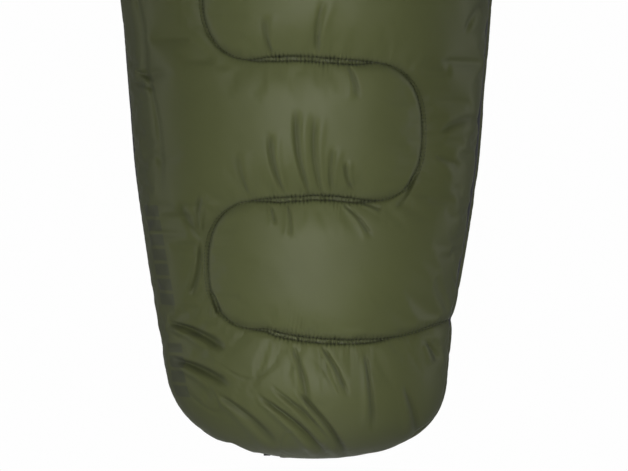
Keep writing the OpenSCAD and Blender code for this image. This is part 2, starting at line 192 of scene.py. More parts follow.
def even_angles(point, s, count, o, right_trim, left_trim):
    """Angles of evenly spaced points across each row, leaving out a trim along each seam."""
    fine = np.linspace(0, math.pi, 241)
    trims = np.broadcast_to(right_trim, s.shape), np.broadcast_to(left_trim, s.shape)
    rows = []
    for s_i, right, left in zip(s, *trims):
        run = run_along(point(s_i, fine, o))
        ends = min(right, run[-1] * 0.2), run[-1] - min(left, run[-1] * 0.2)
        rows.append(np.interp(np.linspace(*ends, count), run, fine))
    return np.array(rows)


def across_of(p):
    """Distance of each point from its row's first point, taking the points as evenly spaced."""
    width = np.linalg.norm(np.diff(p, axis=1), axis=2).sum(1)[:, None]
    return np.linspace(0, 1, p.shape[1]) * width


def cubic_weights(n, t):
    """Matrix that reads a row of n values at places t, with a smooth curve through them."""
    t = np.clip(t, 0, n - 1)
    i = np.clip(np.floor(t).astype(int), 0, n - 2)
    u = t - i
    parts = (-u + 2 * u**2 - u**3, 2 - 5 * u**2 + 3 * u**3, u + 4 * u**2 - 3 * u**3, -(u**2) + u**3)
    out = np.zeros((len(t), n))
    for k, part in enumerate(parts):
        np.add.at(out, (np.arange(len(t)), np.clip(i + k - 1, 0, n - 1)), part / 2)
    return out


def resample(grid, rows, cols):
    """Reads a grid of vectors at fractional row and column places."""
    a = cubic_weights(grid.shape[0], rows)
    b = cubic_weights(grid.shape[1], cols)
    return np.einsum("ri,ijk,cj->rck", a, grid, b, optimize=True)


def unit(v):
    """Vectors scaled to length 1."""
    return v / np.maximum(np.linalg.norm(v, axis=-1, keepdims=True), 1e-12)


def grid_normals(p):
    """Unit normals of a grid of points."""
    return unit(np.cross(np.gradient(p, axis=0), np.gradient(p, axis=1)))


def noise(x, y, seed, octaves=3):
    """Smooth noise between about -1 and 1, from seeded waves in turned directions."""
    rng = np.random.default_rng(seed)
    total = np.zeros(np.broadcast(x, y).shape)
    for k in range(octaves):
        for _ in range(5):
            a, phase = rng.uniform(0, 2 * math.pi, 2)
            f = 2**k * rng.uniform(0.7, 1.3)
            total += np.sin(f * (x * math.cos(a) + y * math.sin(a)) + phase) / 2**k
    return total / 5


# ---------- meshes ----------

def new_object(name, verts, faces):
    """A smooth-shaded mesh object. faces is an array of quads, or a list of faces of any size."""
    mesh = bpy.data.meshes.new(name)
    if isinstance(faces, np.ndarray):
        mesh.vertices.add(len(verts))
        mesh.vertices.foreach_set("co", np.asarray(verts, np.float32).ravel())
        mesh.loops.add(faces.size)
        mesh.loops.foreach_set("vertex_index", faces.astype(np.int32).ravel())
        mesh.polygons.add(len(faces))
        mesh.polygons.foreach_set("loop_start", np.arange(0, faces.size, 4, dtype=np.int32))
    else:
        mesh.from_pydata([tuple(v) for v in verts], [], faces)
    mesh.update(calc_edges=True)
    mesh.validate()
    mesh.polygons.foreach_set("use_smooth", np.ones(len(mesh.polygons), bool))
    obj = bpy.data.objects.new(name, mesh)
    bpy.context.scene.collection.objects.link(obj)
    return obj


def quads(rows, cols):
    """Faces of a grid, as point numbers."""
    i, j = np.meshgrid(np.arange(rows - 1), np.arange(cols - 1), indexing="ij")
    a = (i * cols + j).ravel()
    return np.stack([a, a + cols, a + cols + 1, a + 1], 1)


def sheet(outer, inner):
    """Points and quads of a closed sheet between two grids of the same size."""
    rows, cols = outer.shape[:2]
    second = rows * cols
    skin = quads(rows, cols)
    j, i = np.arange(cols - 1), np.arange(rows - 1) * cols
    last_row, last_col = (rows - 1) * cols, cols - 1
    edges = [(j + 1, j), (last_row + j, last_row + j + 1)]
    edges += [(i, i + cols), (i + cols + last_col, i + last_col)]
    rim = [np.stack([b, a, a + second, b + second], 1) for a, b in edges]
    points = np.concatenate([outer.reshape(-1, 3), inner.reshape(-1, 3)])
    return points, np.concatenate([skin, skin[:, ::-1] + second] + rim)


def cloth(outer, thick=CLOTH_T):
    """A closed sheet with its outer face on a grid of points."""
    return sheet(outer, outer - grid_normals(outer) * thick)


def ring_part(rings):
    """Closed skin over a stack of rings, each turning anticlockwise about the way the stack runs."""
    n, sides = rings.shape[:2]
    i, j = np.meshgrid(np.arange(n - 1), np.arange(sides), indexing="ij")
    a, b = i * sides + j, i * sides + (j + 1) % sides
    faces = np.stack([a, b, b + sides, a + sides], -1).reshape(-1, 4).tolist()
    faces += [list(range(sides))[::-1], list(range((n - 1) * sides, n * sides))]
    return rings.reshape(-1, 3), faces


def tube(path, radius, sides=8, up=(0, 0, 1)):
    """Round rod along a line. The line never runs along up."""
    path = np.asarray(path, float)
    along = unit(np.gradient(path, axis=0))
    across = unit(np.cross(up, along))
    third = np.cross(along, across)
    a = np.arange(sides) * 2 * math.pi / sides
    turn = np.cos(a)[:, None] * across[:, None] + np.sin(a)[:, None] * third[:, None]
    return ring_part(path[:, None] + np.broadcast_to(radius, len(path))[:, None, None] * turn)


def lathe(profile, sides=32):
    """Turned part about Z, from a list of radius and height pairs, lowest first."""
    p = np.asarray(profile, float)
    a = np.arange(sides) * 2 * math.pi / sides
    rings = [np.stack([r * np.cos(a), r * np.sin(a), np.full(sides, z)], 1) for r, z in p]
    return ring_part(np.array(rings))


def torus(ring_r, wire_r, sides=24):
    """Ring about Z."""
    a = np.linspace(0, 2 * math.pi, sides + 1)
    path = np.stack([ring_r * np.cos(a), ring_r * np.sin(a), 0 * a], 1)
    return tube(path, wire_r, 8)


def rounded_box(low, high, bevel):
    """Block between two corners with its edges rounded off."""
    bm = bmesh.new()
    bmesh.ops.create_cube(bm, size=1)
    size, middle = np.subtract(high, low), np.add(high, low) / 2
    for v in bm.verts:
        v.co = Vector(middle + np.array(v.co) * size)
    bmesh.ops.bevel(bm, geom=bm.edges[:], offset=bevel, segments=2, profile=0.5, affect="EDGES")
    bm.verts.index_update()
    part = np.array([v.co[:] for v in bm.verts]), [[v.index for v in f.verts] for f in bm.faces]
    bm.free()
    return part


def moved(part, matrix):
    """A part's points moved by a matrix."""
    m = np.array(matrix)
    return np.asarray(part[0]) @ m[:3, :3].T + m[:3, 3], part[1]


def merge(parts):
    """Several parts as one."""
    verts, faces, start = [], [], 0
    for v, f in parts:
        verts.append(np.asarray(v))
        rows = f.tolist() if isinstance(f, np.ndarray) else f
        faces += [[i + start for i in face] for face in rows]
        start += len(v)
    return np.concatenate(verts), faces


def turned(axis, degrees):
    return Matrix.Rotation(math.radians(degrees), 4, axis)


def shifted(x, y, z):
    return Matrix.Translation((x, y, z))


def dashes(points, normals, length=0.0046, radius=0.00042):
    """Short stitches of thread, one at each point of a line."""
    along = unit(np.gradient(points, axis=0))
    side = unit(np.cross(normals, along))
    up = np.cross(along, side)
    rings = []
    for at, r in ((-0.5, 0.45), (0, 1.0), (0.5, 0.45)):
        for a in (0, math.pi / 2, math.pi, 3 * math.pi / 2):
            around = math.cos(a) * side + math.sin(a) * up
            rings.append(points + at * length * along + r * radius * around)
    verts = np.stack(rings, 1).reshape(-1, 3)
    one = []
    for k in (0, 4):
        one += [[k + j, k + (j + 1) % 4, k + 4 + (j + 1) % 4, k + 4 + j] for j in range(4)]
    one += [[3, 2, 1, 0], [8, 9, 10, 11]]
    faces = (np.array(one)[None] + 12 * np.arange(len(points))[:, None, None]).reshape(-1, 4)
    return verts, faces


def even_points(path, pitch):
    """Points along a 3-D line, one pitch apart."""
    run = run_along(path)
    at = np.arange(pitch / 2, run[-1], pitch)
    return np.stack([np.interp(at, run, path[:, k]) for k in range(3)], 1)


# ---------- quilting: one serpentine line of stitches ----------

RUN_PITCH = 0.2405
FIRST_RUN = 0.222
LAST_RUN = 6
TURN_REACH = {-1: 0.177, 1: 0.207}    # how far the left and right turns reach from the bag's middle
TURN_SPREAD = 0.016                   # how much farther each turn reaches per metre up the bag
TURN_BEND = 0.104                     # how far a turn takes to bend from one run to the next
TURN_N = 2.5
STEP = 0.0015                         # spacing of the points that stand for the line
ROW_GAP = 0.0028                      # half the gap between a straight run's two rows of stitches
ROWS_MIDDLE, ROWS_HALF = 0.015, 0.145   # the two rows lie apart over this part of each straight run
STITCH_PITCH = 0.0065


def run_s(k, x):
    """Height of a straight run. The first sags like a smile, and the others wander a little."""
    sag = np.minimum(0.036 * ((x - 0.070) / 0.190) ** 2 - 0.008, 0.032)
    return FIRST_RUN + RUN_PITCH * k + (sag if k == 0 else 0.003 * np.sin(x * 30 + k)) \
        + 0.0016 * noise(x * 70, x * 0 + k, 31, 2)


def run_points(k, x_from, x_to):
    """One straight run, from right to left for even k."""
    x = np.arange(x_from, x_to, math.copysign(STEP, x_to - x_from))
    return np.stack([x, run_s(k, x), smooth((ROWS_HALF - np.abs(x - ROWS_MIDDLE)) / 0.06)], 1)


def turn_points(k, side, x_start):
    """The turn from one run to the next."""
    a = np.linspace(-math.pi / 2, math.pi / 2, int(RUN_PITCH * 1.4 / STEP))
    x = x_start + side * TURN_BEND * np.abs(np.cos(a)) ** (2 / TURN_N)
    s = mix(run_s(k, x_start), run_s(k + 1, x_start), 0.5 + 0.5 * spow(np.sin(a), 2 / TURN_N))
    return np.stack([x, s, np.zeros_like(x)], 1)


def serpentine():
    """Points along the stitch line, as x, s, and 1 where its two rows lie apart or 0 on a turn."""
    pieces = []
    x = float(half_w(np.array(FIRST_RUN)))
    for k in range(LAST_RUN):
        side = -1 if k % 2 == 0 else 1
        x_turn = side * (TURN_REACH[side] + TURN_SPREAD * RUN_PITCH * k - TURN_BEND)
        pieces += [run_points(k, x, x_turn), turn_points(k, side, x_turn)]
        x = x_turn
    last_s = np.array(FIRST_RUN + RUN_PITCH * LAST_RUN)
    side = -1 if LAST_RUN % 2 == 0 else 1
    pieces.append(run_points(LAST_RUN, x, side * (float(half_w(last_s)) - 0.010)))
    return np.concatenate(pieces)


def even_line(points):
    """The same line with its points evenly spaced and its corners eased."""
    p = points.copy()
    for _ in range(3):
        p[1:-1] = (p[:-2] + 2 * p[1:-1] + p[2:]) / 4
    run = run_along(p[:, :2])
    at = np.arange(0, run[-1], STEP)
    out = np.stack([np.interp(at, run, p[:, k]) for k in range(3)], 1)
    out[:, 2] = np.convolve(np.pad(out[:, 2], 15, mode="edge"), np.ones(31) / 31, mode="valid")
    return out, at


line, line_run = even_line(serpentine())
line_tree = kdtree.KDTree(len(line))
for line_index, (line_x, line_s, _) in enumerate(line):
    line_tree.insert((line_x, line_s, 0), line_index)
line_tree.balance()


def near_line(x, s):
    """For each plan point: distance to the stitch line, place along it, its side, and how straight it is."""
    flat = np.stack([x.ravel(), s.ravel()], 1)
    found = np.array([line_tree.find((a, b, 0))[1:] for a, b in flat.tolist()])
    i = found[:, 0].astype(int)
    ahead = line[np.minimum(i + 1, len(line) - 1), :2] - line[np.maximum(i - 1, 0), :2]
    offset = flat - line[i, :2]
    side = np.sign(ahead[:, 0] * offset[:, 1] - ahead[:, 1] * offset[:, 0])
    return tuple(v.reshape(x.shape) for v in (found[:, 1], line_run[i], side, line[i, 2]))


# ---------- cloth simulation ----------

SIM_FRAMES = 24
MOST_PUFF = 0.016            # the simulated cloth may swell at most this far


def calmed(grid):
    """Evens out a grid of moves, so that ripples as small as the simulation's cells go."""
    g = np.pad(grid, ((1, 1), (0, 0), (0, 0)), mode="edge")
    g = (g[:-2] + 6 * g[1:-1] + g[2:]) / 8
    g = np.pad(g, ((0, 0), (1, 1), (0, 0)), mode="edge")
    return (g[:, :-2] + 6 * g[:, 1:-1] + g[:, 2:]) / 8


def simulate(grid, pins, pressure, shrink):
    """Inflates a grid of cloth that is sewn down where pins is 1, and returns how its points move."""
    rows, cols = grid.shape[:2]
    obj = new_object("simulated", grid.reshape(-1, 3), quads(rows, cols))
    group = obj.vertex_groups.new(name="pins")
    levels = np.round(np.clip(pins, 0, 1).ravel() * 10).astype(int)
    for level in range(1, 11):
        group.add(np.nonzero(levels == level)[0].tolist(), level / 10, "REPLACE")
    modifier = obj.modifiers.new("Cloth", "CLOTH")
    settings = modifier.settings
    settings.quality = 5
    settings.mass = 0.2
    settings.air_damping = 3
    settings.tension_stiffness = 25
    settings.compression_stiffness = 25
    settings.shear_stiffness = 8
    settings.bending_stiffness = 0.3
    settings.use_pressure = True
    settings.uniform_pressure_force = pressure
    settings.shrink_min = shrink
    settings.vertex_group_mass = "pins"
    settings.effector_weights.gravity = 0
    modifier.point_cache.frame_start = 1
    modifier.point_cache.frame_end = SIM_FRAMES
    for f in range(1, SIM_FRAMES + 1):
        bpy.context.scene.frame_set(f)
    evaluated = obj.evaluated_get(bpy.context.evaluated_depsgraph_get())
    out = np.zeros(rows * cols * 3, np.float32)
    evaluated.data.vertices.foreach_get("co", out)
    bpy.data.objects.remove(obj)
    bpy.context.scene.frame_set(1)
    move = calmed(out.reshape(grid.shape) - grid)
    size = np.linalg.norm(move, axis=2, keepdims=True)
    return move * MOST_PUFF * np.tanh(size / MOST_PUFF) / np.maximum(size, 1e-9)


# ---------- relief of the cloth ----------

PUCKER_PITCH = 0.0075


def quilt_depth(d):
    """How deep the cloth lies under the bag's outline at distance d from the stitches."""
    return 0.0060 * np.exp(-d / 0.011) + 0.0050 * np.exp(-d / 0.045) - 0.0015


def fold(phase):
    """A soft pleat: sharp at the bottom, round at the top, between -1 and 0."""
    return -((1 - np.abs(np.sin(math.pi * phase))) ** 2)


def pleat_wave(near):
    """Pleats square to the stitches, between -1 and 0."""
    _, run, side, _ = near
    return fold(run / PUCKER_PITCH + 0.6 * noise(run * 60, side * 3, 11, 2))


def puckers(near):
    """Stitch grooves, and short pleats beside them that are deep on straight runs and faint on turns."""
    d, run, side, straight = near
    beyond = np.maximum(d - ROW_GAP * straight, 0)
    pulse = np.clip(0.55 + 0.6 * noise(run * 95, side * 5, 12, 2), 0.15, 1.1)
    reach = 0.0045 + 0.026 * np.clip(noise(run * 70, side * 7, 13, 2), 0, 1) ** 1.5
    strength = mix(0.32, 1.0, straight) * pulse
    pleats = 0.0034 * strength * pleat_wave(near) * np.exp(-((beyond / reach) ** 1.3))
    beads = -0.0013 * mix(0.35, 1.0, straight) * between_stitches(run) * np.exp(-((beyond / 0.006) ** 2))
    groove = -0.0018 * np.exp(-(((d - ROW_GAP * straight) / 0.0017) ** 2))
    return pleats + beads + groove


def between_stitches(run):
    """1 at each stitch's middle and 0 between stitches, for a place along the line."""
    return 0.5 - 0.5 * np.cos(2 * math.pi * run / STITCH_PITCH)


# Long soft folds, as start x, start s, end x, end s, depth, width
FOLDS = [
    (-0.040, 0.476, -0.062, 0.570, 0.0030, 0.009),
    (0.004, 0.476, -0.016, 0.610, 0.0034, 0.010),
    (0.026, 0.478, 0.016, 0.600, 0.0026, 0.009),
    (0.045, 0.476, 0.048, 0.550, 0.0022, 0.008),
    (0.080, 0.480, 0.068, 0.525, 0.0026, 0.006),
    (-0.100, 0.470, -0.120, 0.540, 0.0020, 0.010),
    (0.070, 0.452, 0.112, 0.402, 0.0022, 0.006),
    (0.100, 0.456, 0.130, 0.446, 0.0018, 0.005),
    (-0.030, 0.452, -0.026, 0.400, 0.0020, 0.006),
    (-0.060, 0.450, -0.052, 0.420, 0.0020, 0.005),
    (-0.186, 0.410, -0.183, 0.470, 0.0024, 0.006),
    (-0.184, 0.385, -0.198, 0.300, 0.0028, 0.007),
    (-0.186, 0.400, -0.220, 0.455, 0.0024, 0.012),
    (-0.165, 0.300, -0.152, 0.262, 0.0030, 0.006),
    (-0.235, 0.245, -0.145, 0.205, 0.0060, 0.012),
    (-0.225, 0.180, -0.140, 0.142, 0.0060, 0.013),
    (-0.150, 0.120, -0.070, 0.040, 0.0036, 0.012),
    (-0.075, 0.115, 0.020, 0.015, 0.0048, 0.011),
    (-0.050, 0.130, 0.035, 0.032, 0.0032, 0.010),
    (-0.010, 0.125, 0.055, 0.012, 0.0044, 0.010),
    (0.030, 0.205, 0.070, 0.130, 0.0030, 0.007),
    (-0.020, 0.205, 0.000, 0.110, 0.0028, 0.010),
    (0.105, 0.190, 0.108, 0.070, 0.0028, 0.008),
    (0.175, 0.130, 0.185, 0.040, 0.0028, 0.012),
    (0.215, 0.210, 0.232, 0.180, 0.0028, 0.008),
    (0.262, 0.820, 0.312, 0.872, 0.0024, 0.012),
    (0.280, 0.760, 0.318, 0.815, 0.0022, 0.012),
    (0.236, 0.580, 0.300, 0.610, 0.0026, 0.014),
    (0.228, 0.540, 0.270, 0.520, 0.0022, 0.012),
    (0.190, 0.505, 0.160, 0.450, 0.0030, 0.008),
    (-0.310, 0.860, -0.280, 0.680, 0.0016, 0.011),
    (-0.280, 0.690, -0.253, 0.482, 0.0014, 0.011),
    (-0.300, 0.690, -0.268, 0.672, 0.0015, 0.006),
    (-0.302, 0.668, -0.266, 0.655, 0.0015, 0.006),
    (0.020, 0.715, 0.030, 0.800, 0.0026, 0.010),
    (-0.060, 0.715, -0.070, 0.775, 0.0024, 0.009),
    (0.075, 0.692, 0.090, 0.640, 0.0022, 0.008),
]


def long_folds(x, s):
    """Height of the long folds: a groove with a soft ridge beside it."""
    total = np.zeros(x.shape)
    for x1, s1, x2, s2, deep, wide in FOLDS:
        dx, ds = x2 - x1, s2 - s1
        length = math.hypot(dx, ds)
        t = ((x - x1) * dx + (s - s1) * ds) / length**2
        bow = 0.05 * length * np.sin(math.pi * np.clip(t, 0, 1))
        d = ((x - x1) * ds - (s - s1) * dx) / length + bow
        taper = smooth(np.minimum(t + 0.15, 1.15 - t) / 0.35)
        w = wide * (0.45 + 0.5 * np.clip(t, 0, 1))
        ridge = 0.7 * np.exp(-(((d - 1.7 * w) / w) ** 2))
        groove = 1.1 * np.exp(-((d / (0.7 * w)) ** 2))
        total += taper * deep * (ridge - groove)
    return total


def crumples(x, s, edge, seed):
    """A faint network of creases over the toe and along the sides."""
    lines = np.clip(1 - np.abs(noise(x * 34 + s * 16, s * 20 - x * 10, seed, 2)) / 0.12, 0, 1)
    patches = smooth(noise(x * 14, s * 14, seed + 1, 2) / 0.3 + 0.5)
    where = np.maximum(smooth((0.20 - s) / 0.05), smooth((0.10 - edge) / 0.05))
    return -0.0013 * lines**1.5 * patches * where


def seam_gathers(run, edge, seed, pitch=0.017, reach=0.022, deep=0.0018):
    """Small slanted creases along a sewn edge."""
    phase = (run + 0.6 * edge) / pitch + 0.8 * noise(run * 25, run * 0, seed, 2)
    strength = np.clip(0.45 + 0.7 * noise(run * 18, run * 0, seed + 1, 2), 0, 1)
    return deep * strength * fold(phase) * np.exp(-edge / reach) * smooth(edge / 0.004)


def crease_shade(near, edge, relief):
    """How much the cloth is darkened, for the shell's material: painted shade in the stitch grooves, where it
    is partly the thread's own dark colour, painted shade beside the pleats and in the hollows of the folds,
    and a dark line along the seam.
    """
    d, run, _, straight = near
    line_d = d - ROW_GAP * straight
    line_wide = mix(0.0014, 0.0020, straight)
    # Stitch line: partly the dark thread, partly painted shade in its groove
    dots = mix(0.45, 1.0, between_stitches(run)) * np.exp(-((line_d / line_wide) ** 2))
    tick_ends = np.exp(-((np.maximum(line_d, 0) / 0.005) ** 2))
    # Painted shade in the pleats' hollows beside the stitches
    ticks = -0.9 * pleat_wave(near) * mix(0.3, 1.0, straight) * tick_ends
    # Painted shade wherever the relief sinks in
    hollows = 0.40 * np.clip((-relief - 0.0004) / 0.0040, 0, 1)
    seam = 0.5 * np.exp(-((edge / 0.0013) ** 2))
    return np.maximum.reduce([dots, ticks, hollows, seam])


# ---------- materials ----------

def linear(rgb):
    """Linear colour from an sRGB triple out of 255."""
    values = [c / 255 for c in rgb]
    return tuple(c / 12.92 if c < 0.04045 else ((c + 0.055) / 1.055) ** 2.4 for c in values) + (1,)


def set_inputs(node, values):
    """Sets a node's inputs by name."""
    for key, value in values.items():
        node.inputs[key].default_value = value


class Builder:
    """A material's node tree, with short ways to add nodes and join them."""

    def __init__(self, name, roughness, metallic=0.0, specular=0.3):
        self.material = bpy.data.materials.new(name)
        self.material.use_nodes = True
        self.nodes = self.material.node_tree.nodes
        self.links = self.material.node_tree.links
        self.shader = self.nodes["Principled BSDF"]
        self.place = self.nodes.new("ShaderNodeTexCoord").outputs["Object"]
        self.surface({"Roughness": roughness, "Metallic": metallic, "Specular IOR Level": specular})

    def surface(self, values):
        set_inputs(self.shader, values)

    def texture(self, kind, scale, **values):
        node = self.nodes.new(kind)
        set_inputs(node, {"Scale": scale, **values})
        self.links.new(self.place, node.inputs["Vector"])
        return node

    def attribute(self, name):
        node = self.nodes.new("ShaderNodeAttribute")
        node.attribute_name = name
        return node.outputs["Fac"]

    def mix_colour(self, factor, a, b):
        """Colour between a and b. Each is an sRGB triple or an output."""
        node = self.nodes.new("ShaderNodeMix")
        node.data_type = "RGBA"
        for index, value in ((0, factor), (6, a), (7, b)):
            if isinstance(value, bpy.types.NodeSocket):
                self.links.new(value, node.inputs[index])
            else:
                node.inputs[index].default_value = value if index == 0 else linear(value)
        return node.outputs[2]

    def maths(self, operation, a, b):
        """The output of a maths node fed with two numbers or outputs."""
        node = self.nodes.new("ShaderNodeMath")
        node.operation = operation
        for index, value in enumerate((a, b)):
            if isinstance(value, bpy.types.NodeSocket):
                self.links.new(value, node.inputs[index])
            else:
                node.inputs[index].default_value = value
        return node.outputs[0]

    def bump(self, height, strength, distance):
        """Adds a bump on top of any earlier one."""
        node = self.nodes.new("ShaderNodeBump")
        set_inputs(node, {"Strength": strength, "Distance": distance})
        self.links.new(height, node.inputs["Height"])
        previous = self.shader.inputs["Normal"].links
        if previous:
            self.links.new(previous[0].from_socket, node.inputs["Normal"])
        self.links.new(node.outputs[0], self.shader.inputs["Normal"])

    def colour(self, value):
        self.links.new(value, self.shader.inputs["Base Color"])

    def threads(self, spacing, strength):
        """Crossed threads, one every spacing metres."""
        waves = [self.texture("ShaderNodeTexWave", 1 / spacing / 20, Distortion=0.5) for _ in range(2)]
        waves[0].bands_direction = "X"
        waves[1].bands_direction = "Y"
        height = self.maths("MULTIPLY", waves[0].outputs["Fac"], waves[1].outputs["Fac"])
        self.bump(height, strength, spacing / 2)


def tone(builder, rgb, spread, scale):
    """The colour rgb, drifting lighter and darker by the share spread."""
    patches = builder.texture("ShaderNodeTexNoise", scale, Detail=4.0).outputs[0]
    darker = [c * (1 - spread) for c in rgb]
    lighter = [min(255, c * (1 + spread)) for c in rgb]
    return builder.mix_colour(patches, darker, lighter)


def shell_material(name, rgb, grazing_shade_rgb):
    """Satin cloth with printed bars and painted shade: darker and greyer where it turns away from the view,
    and darkened by the painted crease shade in the stitch grooves, pleats, fold hollows and along the seam.
    """
    b = Builder(name, roughness=0.47, specular=0.20)
    facing = b.nodes.new("ShaderNodeLayerWeight")
    facing.inputs["Blend"].default_value = 0.5
    # Painted shade: the colour darkens and greys as the surface turns away from the view, like light falling
    # off at the sides
    turned_away = b.maths("MINIMUM", b.maths("MULTIPLY", facing.outputs["Facing"], 1.8), 1.0)
    cloth_and_grazing_shade = b.mix_colour(turned_away, tone(b, rgb, 0.05, 7), tone(b, grazing_shade_rgb, 0.05, 7))
    # Painted shade: the groove attribute, the painted crease shade, darkens the cloth towards a near-black
    # olive
    shaded = b.mix_colour(b.maths("MULTIPLY", b.attribute("groove"), 0.85), cloth_and_grazing_shade, (26, 29, 18))
    b.colour(b.mix_colour(b.maths("MULTIPLY", b.attribute("print"), 0.35), shaded, (50, 49, 58)))
    b.surface({"Sheen Weight": 0.03, "Sheen Roughness": 0.35})
    b.threads(0.0006, 0.10)
    b.bump(b.texture("ShaderNodeTexNoise", 160, Detail=3.0).outputs[0], 0.10, 0.0006)
    return b.material


def taffeta(name, rgb):
    """Plain woven cloth, also used for thread."""
    b = Builder(name, roughness=0.55, specular=0.25)
    b.colour(tone(b, rgb, 0.10, 9))
    b.surface({"Sheen Weight": 0.1, "Sheen Roughness": 0.4})
    b.threads(0.0007, 0.15)
    return b.material


def batting(name):
    """White fluffy filling."""
    b = Builder(name, roughness=0.95, specular=0.1)
    b.colour(tone(b, (222, 222, 216), 0.06, 40))
    b.bump(b.texture("ShaderNodeTexNoise", 260, Detail=8.0).outputs[0], 0.7, 0.002)
    b.surface({"Sheen Weight": 0.4})
    return b.material


def webbing(name, rgb):
    """Ribbed tape."""
    b = Builder(name, roughness=0.75, specular=0.2)
    b.colour(tone(b, rgb, 0.15, 60))
    b.threads(0.0011, 0.5)
    b.bump(b.texture("ShaderNodeTexNoise", 900, Detail=3.0).outputs[0], 0.3, 0.0003)
    return b.material


def braid(name, rgb):
    """Braided cord: two sets of slanted strands."""
    b = Builder(name, roughness=0.7, specular=0.25)
    strands = b.texture("ShaderNodeTexVoronoi", 950).outputs["Distance"]
    b.colour(b.mix_colour(strands, [c * 1.5 for c in rgb], [c * 0.6 for c in rgb]))
    b.bump(strands, 0.6, 0.0004)
    return b.material


def plastic(name, rgb, roughness=0.4):
    """Moulded plastic with a fine grain."""
    b = Builder(name, roughness=roughness, specular=0.45)
    b.colour(tone(b, rgb, 0.08, 120))
    b.bump(b.texture("ShaderNodeTexNoise", 1500, Detail=2.0).outputs[0], 0.12, 0.0002)
    return b.material


def metal(name, rgb, roughness):
    """Metal with faint wear."""
    b = Builder(name, roughness=roughness, metallic=1.0)
    b.colour(tone(b, rgb, 0.10, 200))
    b.bump(b.texture("ShaderNodeTexNoise", 800, Detail=4.0).outputs[0], 0.08, 0.0002)
    return b.material


def hook_fabric(name, rgb):
    """Patch of small hooks or loops."""
    b = Builder(name, roughness=0.85, specular=0.2)
    cells = b.texture("ShaderNodeTexVoronoi", 1100).outputs["Distance"]
    b.colour(b.mix_colour(cells, [c * 1.6 for c in rgb], [c * 0.5 for c in rgb]))
    b.bump(cells, 0.9, 0.0008)
    return b.material


# Each look is a material and the record's slot that it belongs to
LOOKS = {
    # The shell's second colour is the painted shade it takes where it turns away from the view
    "shell": (shell_material("shell_cloth", (91, 96, 58), (82, 86, 62)), "shell_cloth"),
    "thread": (taffeta("thread", (34, 37, 24)), "shell_cloth"),
    "piping": (taffeta("piping_cloth", (42, 45, 32)), "shell_cloth"),
    "lining": (taffeta("lining_cloth", (58, 60, 62)), "lining_cloth"),
    "filling": (batting("fibre_filling"), "fibre_filling"),
    "tape": (webbing("woven_tape", (30, 31, 32)), "woven_tape"),
    "hooks": (hook_fabric("hook_fabric", (30, 30, 31)), "woven_tape"),
    "coil": (plastic("zip_coil", (38, 40, 38), 0.35), "zip_coil"),
    "zip_metal": (metal("zip_metal", (120, 120, 122), 0.32), "zip_metal"),
    "cord": (braid("cord_cover", (34, 36, 34)), "cord_cover"),
    "plastic": (plastic("moulded_plastic", (30, 31, 32)), "moulded_plastic"),
    "steel": (metal("bright_steel", (190, 190, 192), 0.22), "bright_steel"),
    "label": (taffeta("label_cloth", (214, 212, 204)), "label_cloth"),
}

# The top panel and the hood bend between two bodies over a stretch of s
FLAP_BEND = ("bag", "flap", 0.900, 1.560)
HOOD_BEND = ("bag", "hood", 1.700, 1.785)


def settle(obj, look, nodes, body=None, bend=None):
    """Gives a finished piece its material, hides the CAD nodes it replaces, and hangs it on the body it
    rides, or else bakes its place into its points. bend is not used.
    """
    material, slot = LOOKS[look]
    obj.data.materials.append(material)
    if nodes:
        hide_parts(*nodes)
    if body:
        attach(obj, body)
        return obj
    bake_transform(obj)
    return obj


def piece(name, look, nodes, parts, body=None, bend=None):
    """One finished object made of several parts."""
    return settle(new_object(name, *merge(parts)), look, nodes, body, bend)


def mark(obj, name, values):
    """Stores one number per point for the material, given for the outer face of a closed sheet."""
    both = np.concatenate([values.ravel(), np.zeros(values.size)])
    obj.data.attributes.new(name, "FLOAT", "POINT").data.foreach_set("value", both.astype(np.float32))


# ---------- shell cloth of the body ----------

CELL = 0.010                 # spacing of the simulated cloth's points
SIM_COLS = 92
SIM_FROM = 0.045             # the toe's tip isn't simulated
EDGE_IN = 0.012              # beside the feet the right seam lies this far inside the bag's side
SIDE_BULGE = 0.007           # below it the underside bulges out this far beyond the side
HEM = 0.012                  # beside the zip each panel stops this far from the middle of its seam
HEM_COLS = 3                 # the hem's thread lies this many points inside the panel's left edge


def edge_in(s):
    """How far the right seam lies inside the bag's side."""
    return EDGE_IN * (1 - smooth((s - 0.85) / 0.15))


def hem_trim(s):
    """How far each panel stops from the left seam, which opens where the zip starts."""
    return 0.001 + (HEM - 0.001) * smooth((s - ZIP_S + 0.010) / 0.022)


def neck_tuck(s, deep):
    """Both cloths draw together under the binding at the neck."""
    return deep * np.exp(-np.maximum(NECK - s, 0) / 0.014)


# Where the foot's sides swell out of the plain outline: middle s, reach, and how far. Minus is inwards.
LEFT_SWELL = 0.30, 0.12, 0.006
RIGHT_SWELL = 0.22, 0.10, 0.007
LEFT_DIP = 0.115, 0.05, -0.006


def swell(s, from_side, middle, reach, most):
    """Swelling of one side, fading away from it."""
    return most * np.exp(-(((s - middle) / reach) ** 2))[:, None] * np.exp(-from_side / 0.05)


